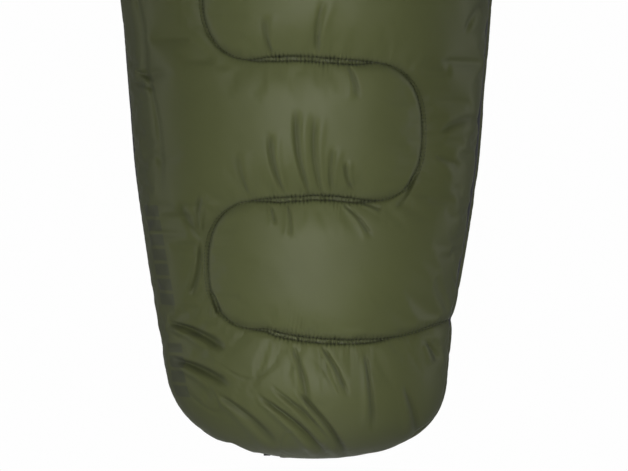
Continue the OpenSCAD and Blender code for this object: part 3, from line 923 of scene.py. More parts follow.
def shell_shape(q, cols, point):
    """A panel without puff: its rows' s, and each point, its place by the stitches, distance in, and s."""
    s = s_of(q)
    a = even_angles(point, s, cols, 0.0, 0.001, hem_trim(s))
    across = across_of(point(s[:, None], a, 0.0))
    plan_s = np.broadcast_to(s[:, None], a.shape)
    near = near_line(point(s[:, None], a, 0.0)[..., 0] - lean(plan_s), plan_s)
    from_left = across[:, -1:] - across
    edge = np.minimum(across, from_left)
    hem = smooth((s - ZIP_S) / 0.02)[:, None]
    o = quilt_depth(near[0]) * smooth(edge / 0.03)
    o = o + 0.004 * np.exp(-edge / 0.010) * np.where(from_left < across, 1 - hem, 1)
    o = o + edge_in(s)[:, None] * (1 - smooth(across / 0.030)) * smooth(plan_s / 0.03)
    o = o - swell(s, from_left, *LEFT_SWELL) - swell(s, across, *RIGHT_SWELL) - swell(s, from_left, *LEFT_DIP)
    if point is top_point:
        o = o + neck_tuck(plan_s, 0.006)
    else:
        o = o - SIDE_BULGE * (edge_in(s) / EDGE_IN)[:, None] * np.exp(-(((across - 0.032) / 0.020) ** 2))
    return s, point(s[:, None], a, o), near, edge, plan_s


def puffed(q, q_end, cols, point, pressure, shrink):
    """How the simulated puff moves each point of a panel's rows."""
    q_low = np.linspace(SIM_FROM, q_end, int((q_end - SIM_FROM) / CELL))
    _, low, near, edge, _ = shell_shape(q_low, SIM_COLS, point)
    pins = np.maximum(near[0] < 0.0055, edge < 0.004).astype(float)
    pins[:2] = 1
    pins[-2:] = 1
    move = simulate(low, pins, pressure, shrink)
    rows_at = (q - SIM_FROM) / (q_end - SIM_FROM) * (len(q_low) - 1)
    return resample(move, rows_at, np.linspace(0, SIM_COLS - 1, cols)) * smooth(q / SIM_FROM)[:, None, None]


def shell_panel(point, end_s, seed, cols, fine_step, coarse_step, pressure=0, shrink=0):
    """Points of a quilted panel with puff, puckers, folds and gathers, and what its materials need."""
    q_end = float(q_of(end_s))
    q_fine = float(q_of(SPLIT))
    q = np.concatenate([np.arange(0.0005, q_fine, fine_step), np.arange(q_fine, q_end, coarse_step), [q_end]])
    s, p, near, edge, plan_s = shell_shape(q, cols, point)
    if pressure:
        p = p + puffed(q, q_end, cols, point, pressure, shrink)
    plan_x = p[..., 0] - lean(plan_s)
    inside = smooth(edge / 0.02)
    relief = puckers(near) * smooth(edge / 0.01)
    if point is top_point:
        relief += long_folds(plan_x, plan_s) * inside
    relief += crumples(plan_x, plan_s, edge, seed + 4) * inside
    relief += seam_gathers(plan_s, edge, seed)
    relief += 0.0007 * noise(plan_x * 45, plan_s * 30, seed + 9, 3) * inside
    turn = 1 if point is top_point else -1
    p = p + turn * grid_normals(p) * (relief * smooth(q / 0.07)[:, None])[..., None]
    if point is bottom_point:
        p[..., 2] = np.maximum(p[..., 2], ABOVE_FLOOR)
    return {"s": s, "p": p, "shade": crease_shade(near, edge, relief), "x": plan_x, "plan_s": plan_s}


PRINT_BARS = ((0.113, 0.212), (0.275, 0.455))   # where the two rows of bars start and end
PRINT_IN = 0.026             # the printed bars' middle line is this far inside the bag's left side
PRINT_HALF = 0.014
BLOCK = 0.026                # the bars are cut into blocks this long


def print_mask(x, s):
    """1 on the printed bars and 0 elsewhere."""
    off = np.abs(x + half_w(s) - PRINT_IN)
    inside = np.zeros(x.shape)
    for low, high in PRINT_BARS:
        along = smooth((s - low) / 0.003) * smooth((high - s) / 0.003)
        gap = np.abs(((s - low) / BLOCK) % 1 - 0.5)
        inside += along * smooth((0.40 - gap) / 0.05)
    return inside * smooth((PRINT_HALF - off) / 0.002)


def surface_at(panel, x, s, turn=1):
    """Points and outward normals of a panel above plan points."""
    rows = np.interp(s, panel["s"], np.arange(len(panel["s"])))
    row = np.clip(np.round(rows).astype(int), 0, len(panel["s"]) - 1)
    places = np.arange(panel["x"].shape[1])
    cols = np.array([np.interp(-xi, -panel["x"][r], places) for xi, r in zip(x, row)])
    r0, c0 = np.floor(rows).astype(int), np.floor(cols).astype(int)
    r0, c0 = np.minimum(r0, panel["p"].shape[0] - 2), np.minimum(c0, panel["p"].shape[1] - 2)
    u, v = (rows - r0)[:, None], (cols - c0)[:, None]

    def read(g):
        left = mix(g[r0, c0], g[r0 + 1, c0], u)
        right = mix(g[r0, c0 + 1], g[r0 + 1, c0 + 1], u)
        return mix(left, right, v)

    return read(panel["p"]), turn * unit(read(grid_normals(panel["p"])))


def panel_stitches(panel, turn=1):
    """Thread along the quilting: two rows on straight runs that come together on the turns."""
    at = np.arange(0.004, line_run[-1] - 0.004, STITCH_PITCH)
    x, s, straight = (np.interp(at, line_run, line[:, k]) for k in range(3))
    ahead = unit(np.stack([np.gradient(x), np.gradient(s)], 1))
    parts = []
    for side in (-1, 1):
        off = side * ROW_GAP * straight
        points, normals = surface_at(panel, x - ahead[:, 1] * off, s + ahead[:, 0] * off, turn)
        parts.append(dashes(points + normals * 0.0004, normals))
    return parts


def hem_stitches(panel, turn=1):
    """A row of thread beside the zip."""
    col = panel["p"].shape[1] - 1 - HEM_COLS
    rows = (panel["s"] > ZIP_S + 0.010) & (panel["s"] < NECK - 0.012)
    normals = turn * grid_normals(panel["p"])[rows, col]
    path = panel["p"][rows, col] + normals * 0.0005
    points = even_points(path, STITCH_PITCH)
    near_row = np.clip(np.searchsorted(path[:, 1], points[:, 1]), 0, len(path) - 1)
    return dashes(points, normals[near_row])


def build_shells():
    """Outer cloth of both panels, with its thread."""
    top = shell_panel(top_point, NECK, 21, 430, 0.0020, 0.0042, 2.0, -0.014)
    obj = new_object("top_shell", *cloth(top["p"]))
    # groove carries the painted crease shade of the top panel
    mark(obj, "groove", top["shade"])
    mark(obj, "print", print_mask(top["x"], top["plan_s"]))
    settle(obj, "shell", ["foot_shell", "flap_shell"], bend=FLAP_BEND)
    piece("top_stitching", "thread", [], panel_stitches(top) + [hem_stitches(top)], bend=FLAP_BEND)
    bottom = shell_panel(bottom_point, NECK + 0.007, 51, 300, 0.0034, 0.0048)
    flipped = bottom["p"][:, ::-1]
    obj = new_object("underside_shell", *cloth(flipped))
    # groove carries the painted crease shade of the underside
    mark(obj, "groove", bottom["shade"][:, ::-1])
    settle(obj, "shell", ["bottom_shell"], body="bag")
    thread = panel_stitches(bottom, -1) + [hem_stitches(bottom, -1)]
    piece("underside_stitching", "thread", [], thread, body="bag")


# ---------- lining and filling of the body ----------

LINING_O = FACE_T + 0.0008
FILL_O = 0.0185, 0.0215      # the filling's outer and inner faces


def inner_layer(point, step, cols, o_mid, o_edge, end_s, side_in, fray=0.045):
    """A layer inside a body panel. It comes out from depth o_mid to o_edge within fray of its side edges."""
    q = np.arange(0.003, float(q_of(end_s, o_mid)), step)
    s = s_of(q, o_mid)
    zip_in = side_in + hem_trim(s) * (s > ZIP_S - 0.03)
    a = even_angles(point, s, cols, o_mid, side_in + 0.001, zip_in)
    across = across_of(point(s[:, None], a, o_mid))
    edge = np.minimum(across, across[:, -1:] - across)
    past_toe = smooth((s - 0.04) / 0.06)[:, None]
    o = mix(o_mid, mix(o_edge, o_mid, smooth(edge / fray)), past_toe)
    return s[:, None], a, o, edge


def build_lining(point, name, nodes, seed, **where):
    """Wrinkled cloth inside a body panel. The top one rises to its binding at the neck."""
    end_s = NECK if point is top_point else NECK + 0.006
    s, a, o, edge = inner_layer(point, 0.008, 100, LINING_O, 0.0025, end_s, 0)
    if point is top_point:
        o = mix(o, 0.0145, smooth((s - NECK + 0.045) / 0.045))
    p = point(s, a, o)
    turn = 1 if point is top_point else -1
    wrinkle = 0.0022 * noise(p[..., 0] * 40, p[..., 1] * 26, seed, 3)
    wrinkle += seam_gathers(p[..., 1], edge, seed + 3)
    p = p - turn * grid_normals(p) * (np.abs(wrinkle) * smooth(edge / 0.02))[..., None]
    p = p[:, ::turn]
    settle(new_object(name, *sheet(p, p - grid_normals(p) * CLOTH_T)), "lining", nodes, **where)


def build_filling(point, name, nodes, seed, **where):
    """Lumpy filling between a panel's cloth and its lining."""
    s, a, _, _ = inner_layer(point, 0.015, 44, FILL_O[0], FILL_O[0], NECK - 0.05, 0.035)
    p = point(s, a, FILL_O[0])
    lump = 0.0008 * noise(p[..., 0] * 60, p[..., 1] * 60, seed)[..., None]
    turn = 1 if point is top_point else -1
    normals = turn * grid_normals(p)
    outer, inner = p + normals * lump, p - normals * (FILL_O[1] - FILL_O[0] + lump)
    settle(new_object(name, *sheet(outer[:, ::turn], inner[:, ::turn])), "filling", nodes, **where)


def build_inside():
    """Linings and fillings of both body panels."""
    build_lining(top_point, "top_lining", ["foot_lining", "flap_lining"], 61, bend=FLAP_BEND)
    build_lining(bottom_point, "underside_lining", ["bottom_lining"], 71, body="bag")
    build_filling(top_point, "top_filling", ["foot_insulation", "flap_insulation"], 81, bend=FLAP_BEND)
    build_filling(bottom_point, "underside_filling", ["bottom_insulation"], 91, body="bag")


def build_neck_binding():
    """A folded tape round the top panel's neck edge."""
    a = even_angles(top_point, np.array([NECK]), 240, 0.0, 0.002, HEM)[0]
    turn = np.arange(14) * 2 * math.pi / 14
    j = np.arange(len(a))[:, None]
    ds = 0.0080 * np.cos(turn) * (1 + 0.06 * np.sin(j * 0.9))
    do = 0.0058 * np.sin(turn) * (1 + 0.08 * np.sin(j * 0.55 + 1))
    rings = top_point(NECK + ds, a[:, None], 0.0100 + do)
    piece("neck_edge_binding", "tape", ["neck_binding"], [ring_part(rings)], bend=FLAP_BEND)


POCKET_S = 1.431, 1.599
POCKET_SPREAD = math.radians(24)


def build_pocket():
    """A flat pocket with a hemmed mouth inside the top panel."""
    s = np.linspace(*POCKET_S, 60)[:, None]
    a = np.linspace(math.pi / 2 - POCKET_SPREAD, math.pi / 2 + POCKET_SPREAD, 60)[None]
    u = (s - POCKET_S[0]) / (POCKET_S[1] - POCKET_S[0])
    v = np.linspace(0, 1, 60)[None]
    pillow = (16 * u * (1 - u) * v * (1 - v)) ** 0.6
    hem = 0.0012 * smooth((u - 0.88) / 0.01) + 0.0006 * noise(u * 18, v * 14, 5)
    outer = top_point(s, a, FACE_T + 0.0030 + 0 * u)
    inner = top_point(s, a, FACE_T + 0.0045 + 0.0035 * pillow + hem)
    piece("chest_pocket", "tape", ["inner_pocket"], [sheet(outer, inner)], bend=FLAP_BEND)


def build_label():
    """A blank label that hangs from the closed seam inside the bag."""
    s, z = np.meshgrid(np.linspace(0, 1, 16), np.linspace(0, 1, 24), indexing="ij")
    low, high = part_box("care_label")
    x = low.x + 0.0045 * z**2 + 0.0012 * np.sin(s * 6) * z
    p = np.stack([x, low.y + (high.y - low.y) * s, high.z - (high.z - low.z) * z], -1)
    piece("blank_label", "label", ["care_label"], [cloth(p, 0.0006)], body="bag")


def build_piping():
    """Cord in a cloth sleeve along the closed side seam, and the tape that binds the seam inside."""
    s = s_of(np.linspace(0.012, float(q_of(NECK - 0.004)), 420))
    x = half_w(s) + lean(s) - edge_in(s) + 0.0002 + 0.0004 * np.sin(s * 300)
    cord = tube(np.stack([x, s + TOE_Y, np.full_like(s, SEAM_Z)], 1), 0.0015)
    s = np.linspace(0.06, NECK - 0.002, 200)[:, None]
    z = SEAM_Z + np.linspace(-0.007, 0.006, 6)[None]
    tape = np.stack(np.broadcast_arrays(half_w(s) + lean(s) - 0.0045, s + TOE_Y, z), -1)
    piece("side_piping", "piping", ["side_seam_piping"], [cord, cloth(tape)], body="bag")


# ---------- hood ----------

RIM_START = 0.005
RIM_RISE = (float(crown(np.array(FACE_TOP_S))) - RIM_START) / (FACE_TOP_S - HOOD)
HOOD_LINES = (1.800, 1.900, 2.000, 2.100, 2.200)   # the hood's rows of stitches


def hood_rows(step, o=0.0):
    """Rows' s from the neck to the head's tip, and how far along the curved middle line each is."""
    r = HEAD_ROUND - o
    straight = np.arange(NECK + 0.005, BAG_LEN - HEAD_ROUND, step)
    turn = np.linspace(math.pi / 2, 0.004, int(r * math.pi / 2 / step))
    s = np.concatenate([straight, BAG_LEN - o - r * (1 - np.cos(turn))])
    return s, np.concatenate([straight, BAG_LEN - HEAD_ROUND + r * (math.pi / 2 - turn)])


def rim_angle(s, o, lift):
    """Angle at which the hood's edge cuts a row. lift raises it."""
    share = (RIM_START + lift + RIM_RISE * (s - HOOD)) / max(float(crown(s, o)), 0.001)
    return math.asin(min(1.0, max(share, 0.0)) ** (TOP_N / 2))


def hood_points(s_rows, cols, o, lift=0.012):
    """Rows round the hood from the left rim, under the head, to the right rim. lift raises the rim's edge."""
    rows = []
    for s in s_rows:
        rim = rim_angle(s, o, lift)
        left = top_point(s, np.linspace(math.pi - rim, math.pi, 50), o)
        under = bottom_point(s, np.linspace(math.pi, 0, 160), o)
        p = np.concatenate([left, under[1:], top_point(s, np.linspace(0, rim, 50), o)[1:]])
        run = run_along(p)
        places = np.linspace(0, run[-1], cols)
        rows.append(np.stack([np.interp(places, run, p[:, k]) for k in range(3)], 1))
    return np.array(rows)


def hood_thread(p, q):
    """Thread along each row of stitches round the hood."""
    thread = []
    for line_q in HOOD_LINES:
        row = int(np.abs(q - line_q).argmin())
        normals = grid_normals(p)[row]
        points = even_points(p[row] + normals * 0.0004, STITCH_PITCH)
        places = np.linspace(0, len(normals) - 1, len(points)).astype(int)
        thread.append(dashes(points, normals[places]))
    return thread


def build_hood():
    """Outer cloth of the hood with its thread, gathered where it joins the bag."""
    s, q = hood_rows(0.0034)
    p = hood_points(s, 340, 0.0)
    across = across_of(p)
    gaps = q[:, None] - np.array(HOOD_LINES)
    nearest = np.abs(gaps).argmin(1)
    d = np.broadcast_to(np.abs(gaps).min(1)[:, None], across.shape)
    side = np.broadcast_to(np.sign(gaps[np.arange(len(q)), nearest])[:, None], across.shape)
    near = d, across + nearest[:, None] * 2.0, side, np.full(across.shape, 0.45)
    edge = np.minimum(np.broadcast_to((s - NECK - 0.005)[:, None], across.shape), 0.2)
    relief = (puckers(near) - quilt_depth(d)) * smooth(edge / 0.01)
    relief += seam_gathers(across, edge, 41, pitch=0.014, reach=0.03, deep=0.0024)
    relief += 0.0016 * noise(p[..., 0] * 30, p[..., 1] * 30 + p[..., 2] * 30, 43)
    relief -= 0.003 * np.exp(-edge / 0.008)
    p = p + grid_normals(p) * relief[..., None]
    p[..., 2] = np.maximum(p[..., 2], ABOVE_FLOOR)
    obj = new_object("hood_outer", *cloth(p))
    # groove carries the painted crease shade of the hood
    mark(obj, "groove", crease_shade(near, edge + 0.002, relief + quilt_depth(d)))
    settle(obj, "shell", ["hood_shell"], bend=HOOD_BEND)
    piece("hood_stitching", "thread", [], hood_thread(p, q), bend=HOOD_BEND)


def build_hood_inside():
    """The hood's wrinkled lining and its filling."""
    lining = hood_points(hood_rows(0.008, LINING_O)[0], 130, LINING_O)
    lump = 0.0020 * np.abs(noise(lining[..., 0] * 40, lining[..., 1] * 40 + lining[..., 2] * 30, 47))
    lining = lining - grid_normals(lining) * lump[..., None]
    settle(new_object("hood_inside", *cloth(lining)), "lining", ["hood_lining"], bend=HOOD_BEND)
    rows = hood_rows(0.015, FILL_O[0])[0][3:]
    outer = hood_points(rows, 60, FILL_O[0], lift=-0.035)
    inner = outer - grid_normals(outer) * (FILL_O[1] - FILL_O[0])
    settle(new_object("hood_filling", *sheet(outer, inner)), "filling", ["hood_insulation"], bend=HOOD_BEND)


RIM_CLEAR = 0.017            # the channel's middle stands this far off the hood's edge
RIM_END = 0.90               # the channel's share of the way from the crown to the neck
RIM_R, RIM_SIDES = 0.0108, 26
RIM_STITCHES = 10, 17        # the sides of the channel that its two rows of stitches run along


def rim_path(count, end):
    """Line round the face opening, from one side of the neck over the crown to the other."""
    points = []
    for t in np.linspace(-end, end, count):
        s = mix(HOOD, FACE_TOP_S, math.cos(t * math.pi / 2))
        x, y, z = top_point(s, rim_angle(s, 0.0, 0.0), FACE_T / 2)
        points.append((math.copysign(abs(x), t), y - RIM_CLEAR * (1 - abs(t)), z + RIM_CLEAR))
    return np.array(points)


def build_rim():
    """The gathered channel round the face, and the cord inside it."""
    up = (0, -math.sin(math.radians(25)), math.cos(math.radians(25)))
    count = 620
    path = rim_path(count, RIM_END)
    i = np.arange(count)
    gather = 1 + 0.055 * np.sin(i * 0.85 + 0.7 * np.sin(i * 0.11)) + 0.03 * np.sin(i * 0.21)
    ends = smooth(np.minimum(i, count - 1 - i) / 14) * 0.45 + 0.55
    channel = tube(path, RIM_R * gather * ends, RIM_SIDES, up)
    piece("face_rim_channel", "shell", ["hood_rim_channel"], [channel], bend=HOOD_BEND)
    skin = channel[0].reshape(count, RIM_SIDES, 3)
    middle = even_points(path, STITCH_PITCH)
    stitches = []
    for k in RIM_STITCHES:
        points = even_points(skin[:, k], STITCH_PITCH)
        places = np.linspace(0, len(middle) - 1, len(points)).astype(int)
        outward = unit(points - middle[places])
        stitches.append(dashes(points + outward * 0.0003, outward))
    piece("face_rim_stitching", "thread", [], stitches, bend=HOOD_BEND)
    cord = rim_path(200, RIM_END + 0.012)
    piece("face_drawcord", "cord", ["hood_drawcord"], [tube(cord, 0.0016, 12, up)], bend=HOOD_BEND)


# ---------- zip ----------

MM = 0.001
ZIP_ANGLE = math.atan(SIDE_TAPER)
ZIP = (shifted(-float(side_line(ZIP_S)), TOE_Y + ZIP_S, SEAM_Z) @ Matrix.Rotation(ZIP_ANGLE, 4, "Z")
       @ Matrix.Scale(MM, 4))


def along_zip(s):
    """Millimetres up the zip."""
    return (s - ZIP_S) / math.cos(ZIP_ANGLE) / MM


def in_zip(part, y=0.0):
    """Places a part made in millimetres, with Y up the zip, -X out of the bag and Z up."""
    return moved(part, ZIP @ shifted(0, y, 0))


# In millimetres up the zip
ZIP_LEN = along_zip(NECK - 0.012)
FOOT_ZIP_END = along_zip(SPLIT - SPLIT_GAP)
FLAP_ZIP_START = along_zip(SPLIT) + 2
COIL_PITCH = 2.4
TAPE_OUT = 15.4              # the tapes' outer edges lie this far from the middle


def coil(side, y_from, y_to):
    """One row of a nylon coil zip."""
    turns = int((y_to - y_from) / COIL_PITCH)
    a = np.arange(turns * 10 + 1) * 2 * math.pi / 10 + (0 if side > 0 else math.pi)
    y = y_from + COIL_PITCH * (a - a[0]) / (2 * math.pi)
    path = np.stack([1.15 * np.cos(a), y, side * (2.0 + 1.45 * np.sin(a))], 1)
    return in_zip(tube(path, 0.42, 6, up=(0, 1, 0)))


def zip_tape(side, y_from, y_to):
    """Tape that bears the coil, with a cord along its inner edge. It follows the panel's hem."""
    y = np.arange(y_from, y_to, 3.0)[:, None]
    z = np.linspace(3.2, TAPE_OUT, 8)[None]
    x = 1.2 + 0.005 * z**2 + 0.10 * np.sin(y * 0.05)
    grid = np.stack(np.broadcast_arrays(x, y, side * z), -1)
    if side < 0:
        grid = grid[:, ::-1]
    edge_path = np.stack([np.full(len(y), 0.6), y[:, 0], np.full(len(y), side * 3.7)], 1)
    return [in_zip(sheet(grid, grid + np.array([0.6, 0, 0]))), in_zip(tube(edge_path, 0.55, 6))]


def stop(side_low, side_high, y_from, y_to):
    """Pressed metal block at an end of the zip."""
    return in_zip(rounded_box((-2.2, y_from, side_low), (2.2, y_to, side_high), 0.5))


DRAFT_X, DRAFT_R = 44.3, 14.0           # middle and radius of the draft tube's rounded edges
DRAFT_LOW, DRAFT_HIGH = -13.0, 4.0
DRAFT_PITCH = 78                        # between the stitches across it
FLANGE_LOW, FLANGE_HIGH = -24, -12


def build_draft_tube():
    """Padded tube behind the zip, drawn in by stitches across it, with a flap that joins it to the lining."""
    y = np.linspace(11, ZIP_LEN - 51, 260)[:, None]
    a = np.arange(36)[None] * 2 * math.pi / 36
    from_end = np.minimum(y - 10, ZIP_LEN - 50 - y) / 16
    ends = np.sqrt(np.clip(1 - (1 - from_end).clip(0, 1) ** 2, 0.02, 1))
    stitch = np.exp(-np.abs((y % DRAFT_PITCH) - DRAFT_PITCH / 2) / 5)
    pinch = 1 - 0.10 * stitch + 0.02 * np.sin(y * 0.31 + 3 * a)
    r = DRAFT_R * pinch * ends
    middle = np.where(np.sin(a) > 0, DRAFT_HIGH, DRAFT_LOW)
    rings = np.stack(np.broadcast_arrays(DRAFT_X + r * np.cos(a), y, middle * ends + r * np.sin(a)), -1)
    z = np.linspace(FLANGE_LOW, FLANGE_HIGH, 6)[None]
    x = 27 + (z - FLANGE_LOW) * 0.35 + 0.6 * np.sin(y * 0.2)
    flange = np.stack(np.broadcast_arrays(x, y, z), -1)
    parts = [in_zip(ring_part(rings[:, ::-1])), in_zip(sheet(flange, flange + np.array([0.7, 0, 0])))]
    piece("draft_tube", "lining", ["zip_draft_tube"], parts, body="bag")


def build_zip():
    """Tapes, coils and stops."""
    tape_flap = zip_tape(1, FLAP_ZIP_START - 8, ZIP_LEN)
    coil_flap = coil(1, FLAP_ZIP_START - 6, ZIP_LEN - 4)
    piece("tape_bag_side", "tape", ["zip_tape_bag"], zip_tape(-1, 0, ZIP_LEN), body="bag")
    piece("tape_foot_side", "tape", ["zip_tape_foot"], zip_tape(1, 0, FOOT_ZIP_END), body="bag")
    piece("tape_flap_side", "tape", ["zip_tape_flap"], tape_flap, bend=FLAP_BEND)
    piece("coil_bag_side", "coil", ["zip_teeth_bag"], [coil(-1, 4, ZIP_LEN - 4)], body="bag")
    piece("coil_foot_side", "coil", ["zip_teeth_foot"], [coil(1, 4, FOOT_ZIP_END + 4)], body="bag")
    piece("coil_flap_side", "coil", ["zip_teeth_flap"], [coil_flap], bend=FLAP_BEND)
    crimp = in_zip(rounded_box((-2.6, 1.0, -3.0), (2.6, 2.0, 3.0), 0.4))
    piece("bottom_stop", "zip_metal", ["zip_bottom_stop"], [stop(-3.5, 3.5, 0, 3), crimp], body="bag")
    top_bag = stop(-3.5, -0.7, ZIP_LEN - 3, ZIP_LEN)
    piece("top_stop_bag_side", "zip_metal", ["zip_top_stop_bag"], [top_bag], body="bag")
    top_flap = stop(0.7, 3.5, ZIP_LEN - 3, ZIP_LEN)
    piece("top_stop_flap_side", "zip_metal", ["zip_top_stop_flap"], [top_flap], bend=FLAP_BEND)


SLIDER_Y = 22.0              # the slider's lower end at rest
SLIDER_LEN = 15.0
BAIL_Y = SLIDER_Y + SLIDER_LEN / 2
BAIL_X = 7.2                 # the pulls' pins are this far from the zip's middle


def slider_side(side):
    """One face of the slider: domed plate and the bail that a pull hangs on."""
    plate = rounded_box((2.2, 0, -5.5), (4.0, SLIDER_LEN, 5.5), 0.8)
    dome = rounded_box((3.5, 2.5, -3.2), (4.6, 12.5, 3.2), 0.5)
    half = [(3.6, 2.8), (5.6, 2.9), (6.8, 2.7), (BAIL_X, 1.9)]
    reach = [(x, -z) for x, z in half] + [(BAIL_X, 0)] + half[::-1]
    bail = tube([(x, SLIDER_LEN / 2, z) for x, z in reach], 0.9, 10, up=(0, 1, 0))
    parts = [plate, dome, bail]
    if side > 0:
        return parts
    over = turned("Z", 180) @ shifted(0, -SLIDER_LEN, 0)
    return [moved(part, over) for part in parts]


def on_bail(parts, side):
    """Places parts made about the bail's pin on that side of the slider."""
    return [in_zip(moved(part, shifted(side * BAIL_X, 0, 0)), BAIL_Y) for part in parts]


def pull_parts(side):
    """A pull that hangs from the bail towards the foot: eye, neck, waisted paddle and end hole."""
    eye = lathe([(1.12, -1.9), (2.0, -2.0), (2.2, -1.6), (2.2, 1.6), (2.0, 2.0), (1.12, 1.9)], 24)
    neck = rounded_box((-0.8, -9, -1.3), (0.8, -1.4, 1.3), 0.4)
    paddle = rounded_box((-0.8, -22.5, -2.0), (0.8, -7.5, 2.0), 0.5)
    inset = rounded_box((-1.0, -20, -1.2), (1.0, -10, 1.2), 0.3)
    hole = moved(torus(1.5, 0.6), shifted(0, -24.0, 0) @ turned("Y", 90))
    return on_bail([eye, neck, paddle, inset, hole], side)


GRIP_RIDGES, GRIP_PITCH = 7, 3.0


def grip_parts():
    """Moulded grip with ridges on the end of the outer pull, tied on with a loop of cord."""
    profile = [(0.6, 0), (1.9, 0.3), (2.4, 1.2)]
    for z in np.arange(GRIP_RIDGES) * GRIP_PITCH + GRIP_PITCH:
        profile += [(2.4, z), (1.95, z + 0.5), (1.95, z + 1.2), (2.4, z + 1.7)]
    profile += [(2.4, 25.5), (2.0, 27.2), (0.8, 28)]
    body = moved(lathe(profile, 24), shifted(0, -54.3, 0) @ turned("X", -90))
    loop_path = [(0, -27.5, -0.6), (0.9, -25.4, -0.7), (1.2, -24.0, 0), (0.9, -23.4, 0.5), (0, -23.2, 0.6)]
    loop_path += [(-0.9, -23.6, 0.5), (-1.2, -24.4, 0), (-0.9, -25.6, -0.5), (0, -27.5, 0.6)]
    loop = tube(loop_path, 0.5, 8, up=(0, 0.1, 1))
    return on_bail([body, loop], -1)


def build_slider():
    """The slider, its two pulls and the grip."""
    web = rounded_box((-2.3, 9, -0.11), (2.3, 14, 0.11), 0.05)
    parts = [in_zip(part, SLIDER_Y) for part in slider_side(1) + slider_side(-1) + [web]]
    piece("slider", "zip_metal", ["slider_body"], parts, body="slider")
    piece("outer_pull", "zip_metal", ["slider_pull_outer"], pull_parts(-1), body="pull_outer")
    piece("inner_pull", "zip_metal", ["slider_pull_inner"], pull_parts(1), body="pull_inner")
    piece("pull_grip", "plastic", ["slider_pull_grip"], grip_parts(), body="pull_outer")


TAB_Y = along_zip(NECK) - 38
TAB_LEN = 20.0
PATCH_LOW, PATCH_HIGH = -29, -16        # where the hook and loop patches lie across the zip


def rectangle_stitches(x, z0, z1):
    """Thread round a rectangle on the tab, between two places across the zip."""
    y0, y1 = TAB_Y + 2.0, TAB_Y + TAB_LEN - 2.0
    path = np.array([(x, y0, z0), (x, y1, z0), (x, y1, z1), (x, y0, z1), (x, y0, z0)], float)
    points = even_points(path, 2.6)
    return in_zip(dashes(points, np.tile((-1.0, 0.0, 0.0), (len(points), 1)), 1.9, 0.28))


def patch(x_low, x_high):
    """One half of the tab's hook and loop fastening."""
    return in_zip(rounded_box((x_low, 1, PATCH_LOW), (x_high, TAB_LEN - 1, PATCH_HIGH), 0.3), TAB_Y)


def build_tab():
    """Cloth tab over the top of the zip, with a hook patch that closes on a loop patch."""
    body = rounded_box((-5.2, 0, -30), (-3.6, TAB_LEN, 26), 0.7)
    pull = rounded_box((-5.6, 4, -34), (-4.4, TAB_LEN - 4, -24), 0.5)
    parts = [in_zip(body, TAB_Y), in_zip(pull, TAB_Y)]
    piece("cover_tab", "shell", ["zip_tab"], parts, body="tab")
    stitching = [rectangle_stitches(-5.3, -28, -16), rectangle_stitches(-5.3, 16, 24)]
    piece("cover_tab_stitching", "thread", [], stitching, body="tab")
    piece("hook_patch", "hooks", ["zip_tab_hook_patch"], [patch(-3.6, -2.7)], body="tab")
    piece("loop_patch", "hooks", ["zip_tab_loop_patch"], [patch(-2.5, -1.6)], body="bag")


# ---------- loops, cord and cord lock ----------

def strap(x_mid, path, width, thick):
    """Webbing that follows a path of y and z."""
    path = np.asarray(path, float)
    normal = np.gradient(path, axis=0)[:, ::-1] * (1, -1)
    normal = unit(normal)
    across = x_mid + np.linspace(-width / 2, width / 2, 9)[None]
    sides = []
    for k in (-0.5, 0.5):
        yz = path + normal * thick * k
        sides.append(np.stack(np.broadcast_arrays(across, yz[:, :1], yz[:, 1:]), -1))
    return sheet(sides[0], sides[1])


LOOP_X, LOOP_W, LOOP_T = 0.070, 0.012, 0.0012
EYE_R, EYE_S, EYE_Z = 0.008, 0.011, 0.042       # the eye of each loop
STRAP_TOP = 0.086


def build_loops():
    """Two webbing loops sewn into the foot seam."""
    r = EYE_R + LOOP_T / 2
    a = np.radians(np.arange(180, 441, 8))
    y, z = TOE_Y + EYE_S, EYE_Z
    down = [(y - r, v) for v in np.linspace(STRAP_TOP, EYE_Z, 12)[:-1]]
    eye = [(y + r * math.cos(v), z + r * math.sin(v)) for v in a]
    t = np.linspace(0.05, 1, 12)
    back_y = y - r + 0.0065 * (1 - t) ** 2 + 0.0014
    back = list(zip(back_y, z + 0.010 + t * (STRAP_TOP - EYE_Z - 0.010)))
    parts, thread = [], []
    for x in (-LOOP_X, LOOP_X):
        parts.append(strap(x, down + eye + back, LOOP_W, LOOP_T))
        for v in (0.068, 0.071, 0.074):
            row = np.linspace((x - 0.004, y - r - 0.0008, v), (x + 0.004, y - r - 0.0008, v), 6)
            thread.append(dashes(row, np.tile((0.0, -1.0, 0.0), (6, 1)), 0.0013, 0.0003))
    piece("foot_loops", "tape", ["hanging_loops"], parts, body="bag")
    piece("foot_loop_stitching", "thread", [], thread, body="bag")


# The cord comes out of the eyelet, drops down the bag's left side and runs along the floor
EXIT_S = NECK - 0.009
EXIT_X = -float(half_w(np.array(EXIT_S))) - 0.0026
EXIT_Z = 0.088
TAIL_S = NECK - 0.020
TAIL_X = -float(side_line(TAIL_S)) + 0.020
TAIL_Z = 0.0076
TAIL_LEN = 0.150
CORD_R = 0.0016
LOCK_S = TAIL_S - TAIL_LEN + 0.022
SPRING_TURNS = 4
TO_LEFT = turned("Y", -90)   # turns a part's Z to face out of the bag's left side


def in_place(part, x, s, z, turn=Matrix()):
    """Places a part made in millimetres."""
    return moved(part, shifted(x, TOE_Y + s, z) @ turn @ Matrix.Scale(MM, 4))


def curve(points, steps):
    """A smooth curve with four control points."""
    t = np.linspace(0, 1, steps)[:, None]
    a, b, c, d = (np.array(p, float) for p in points)
    return (1 - t) ** 3 * a + 3 * t * (1 - t) ** 2 * b + 3 * t**2 * (1 - t) * c + t**3 * d


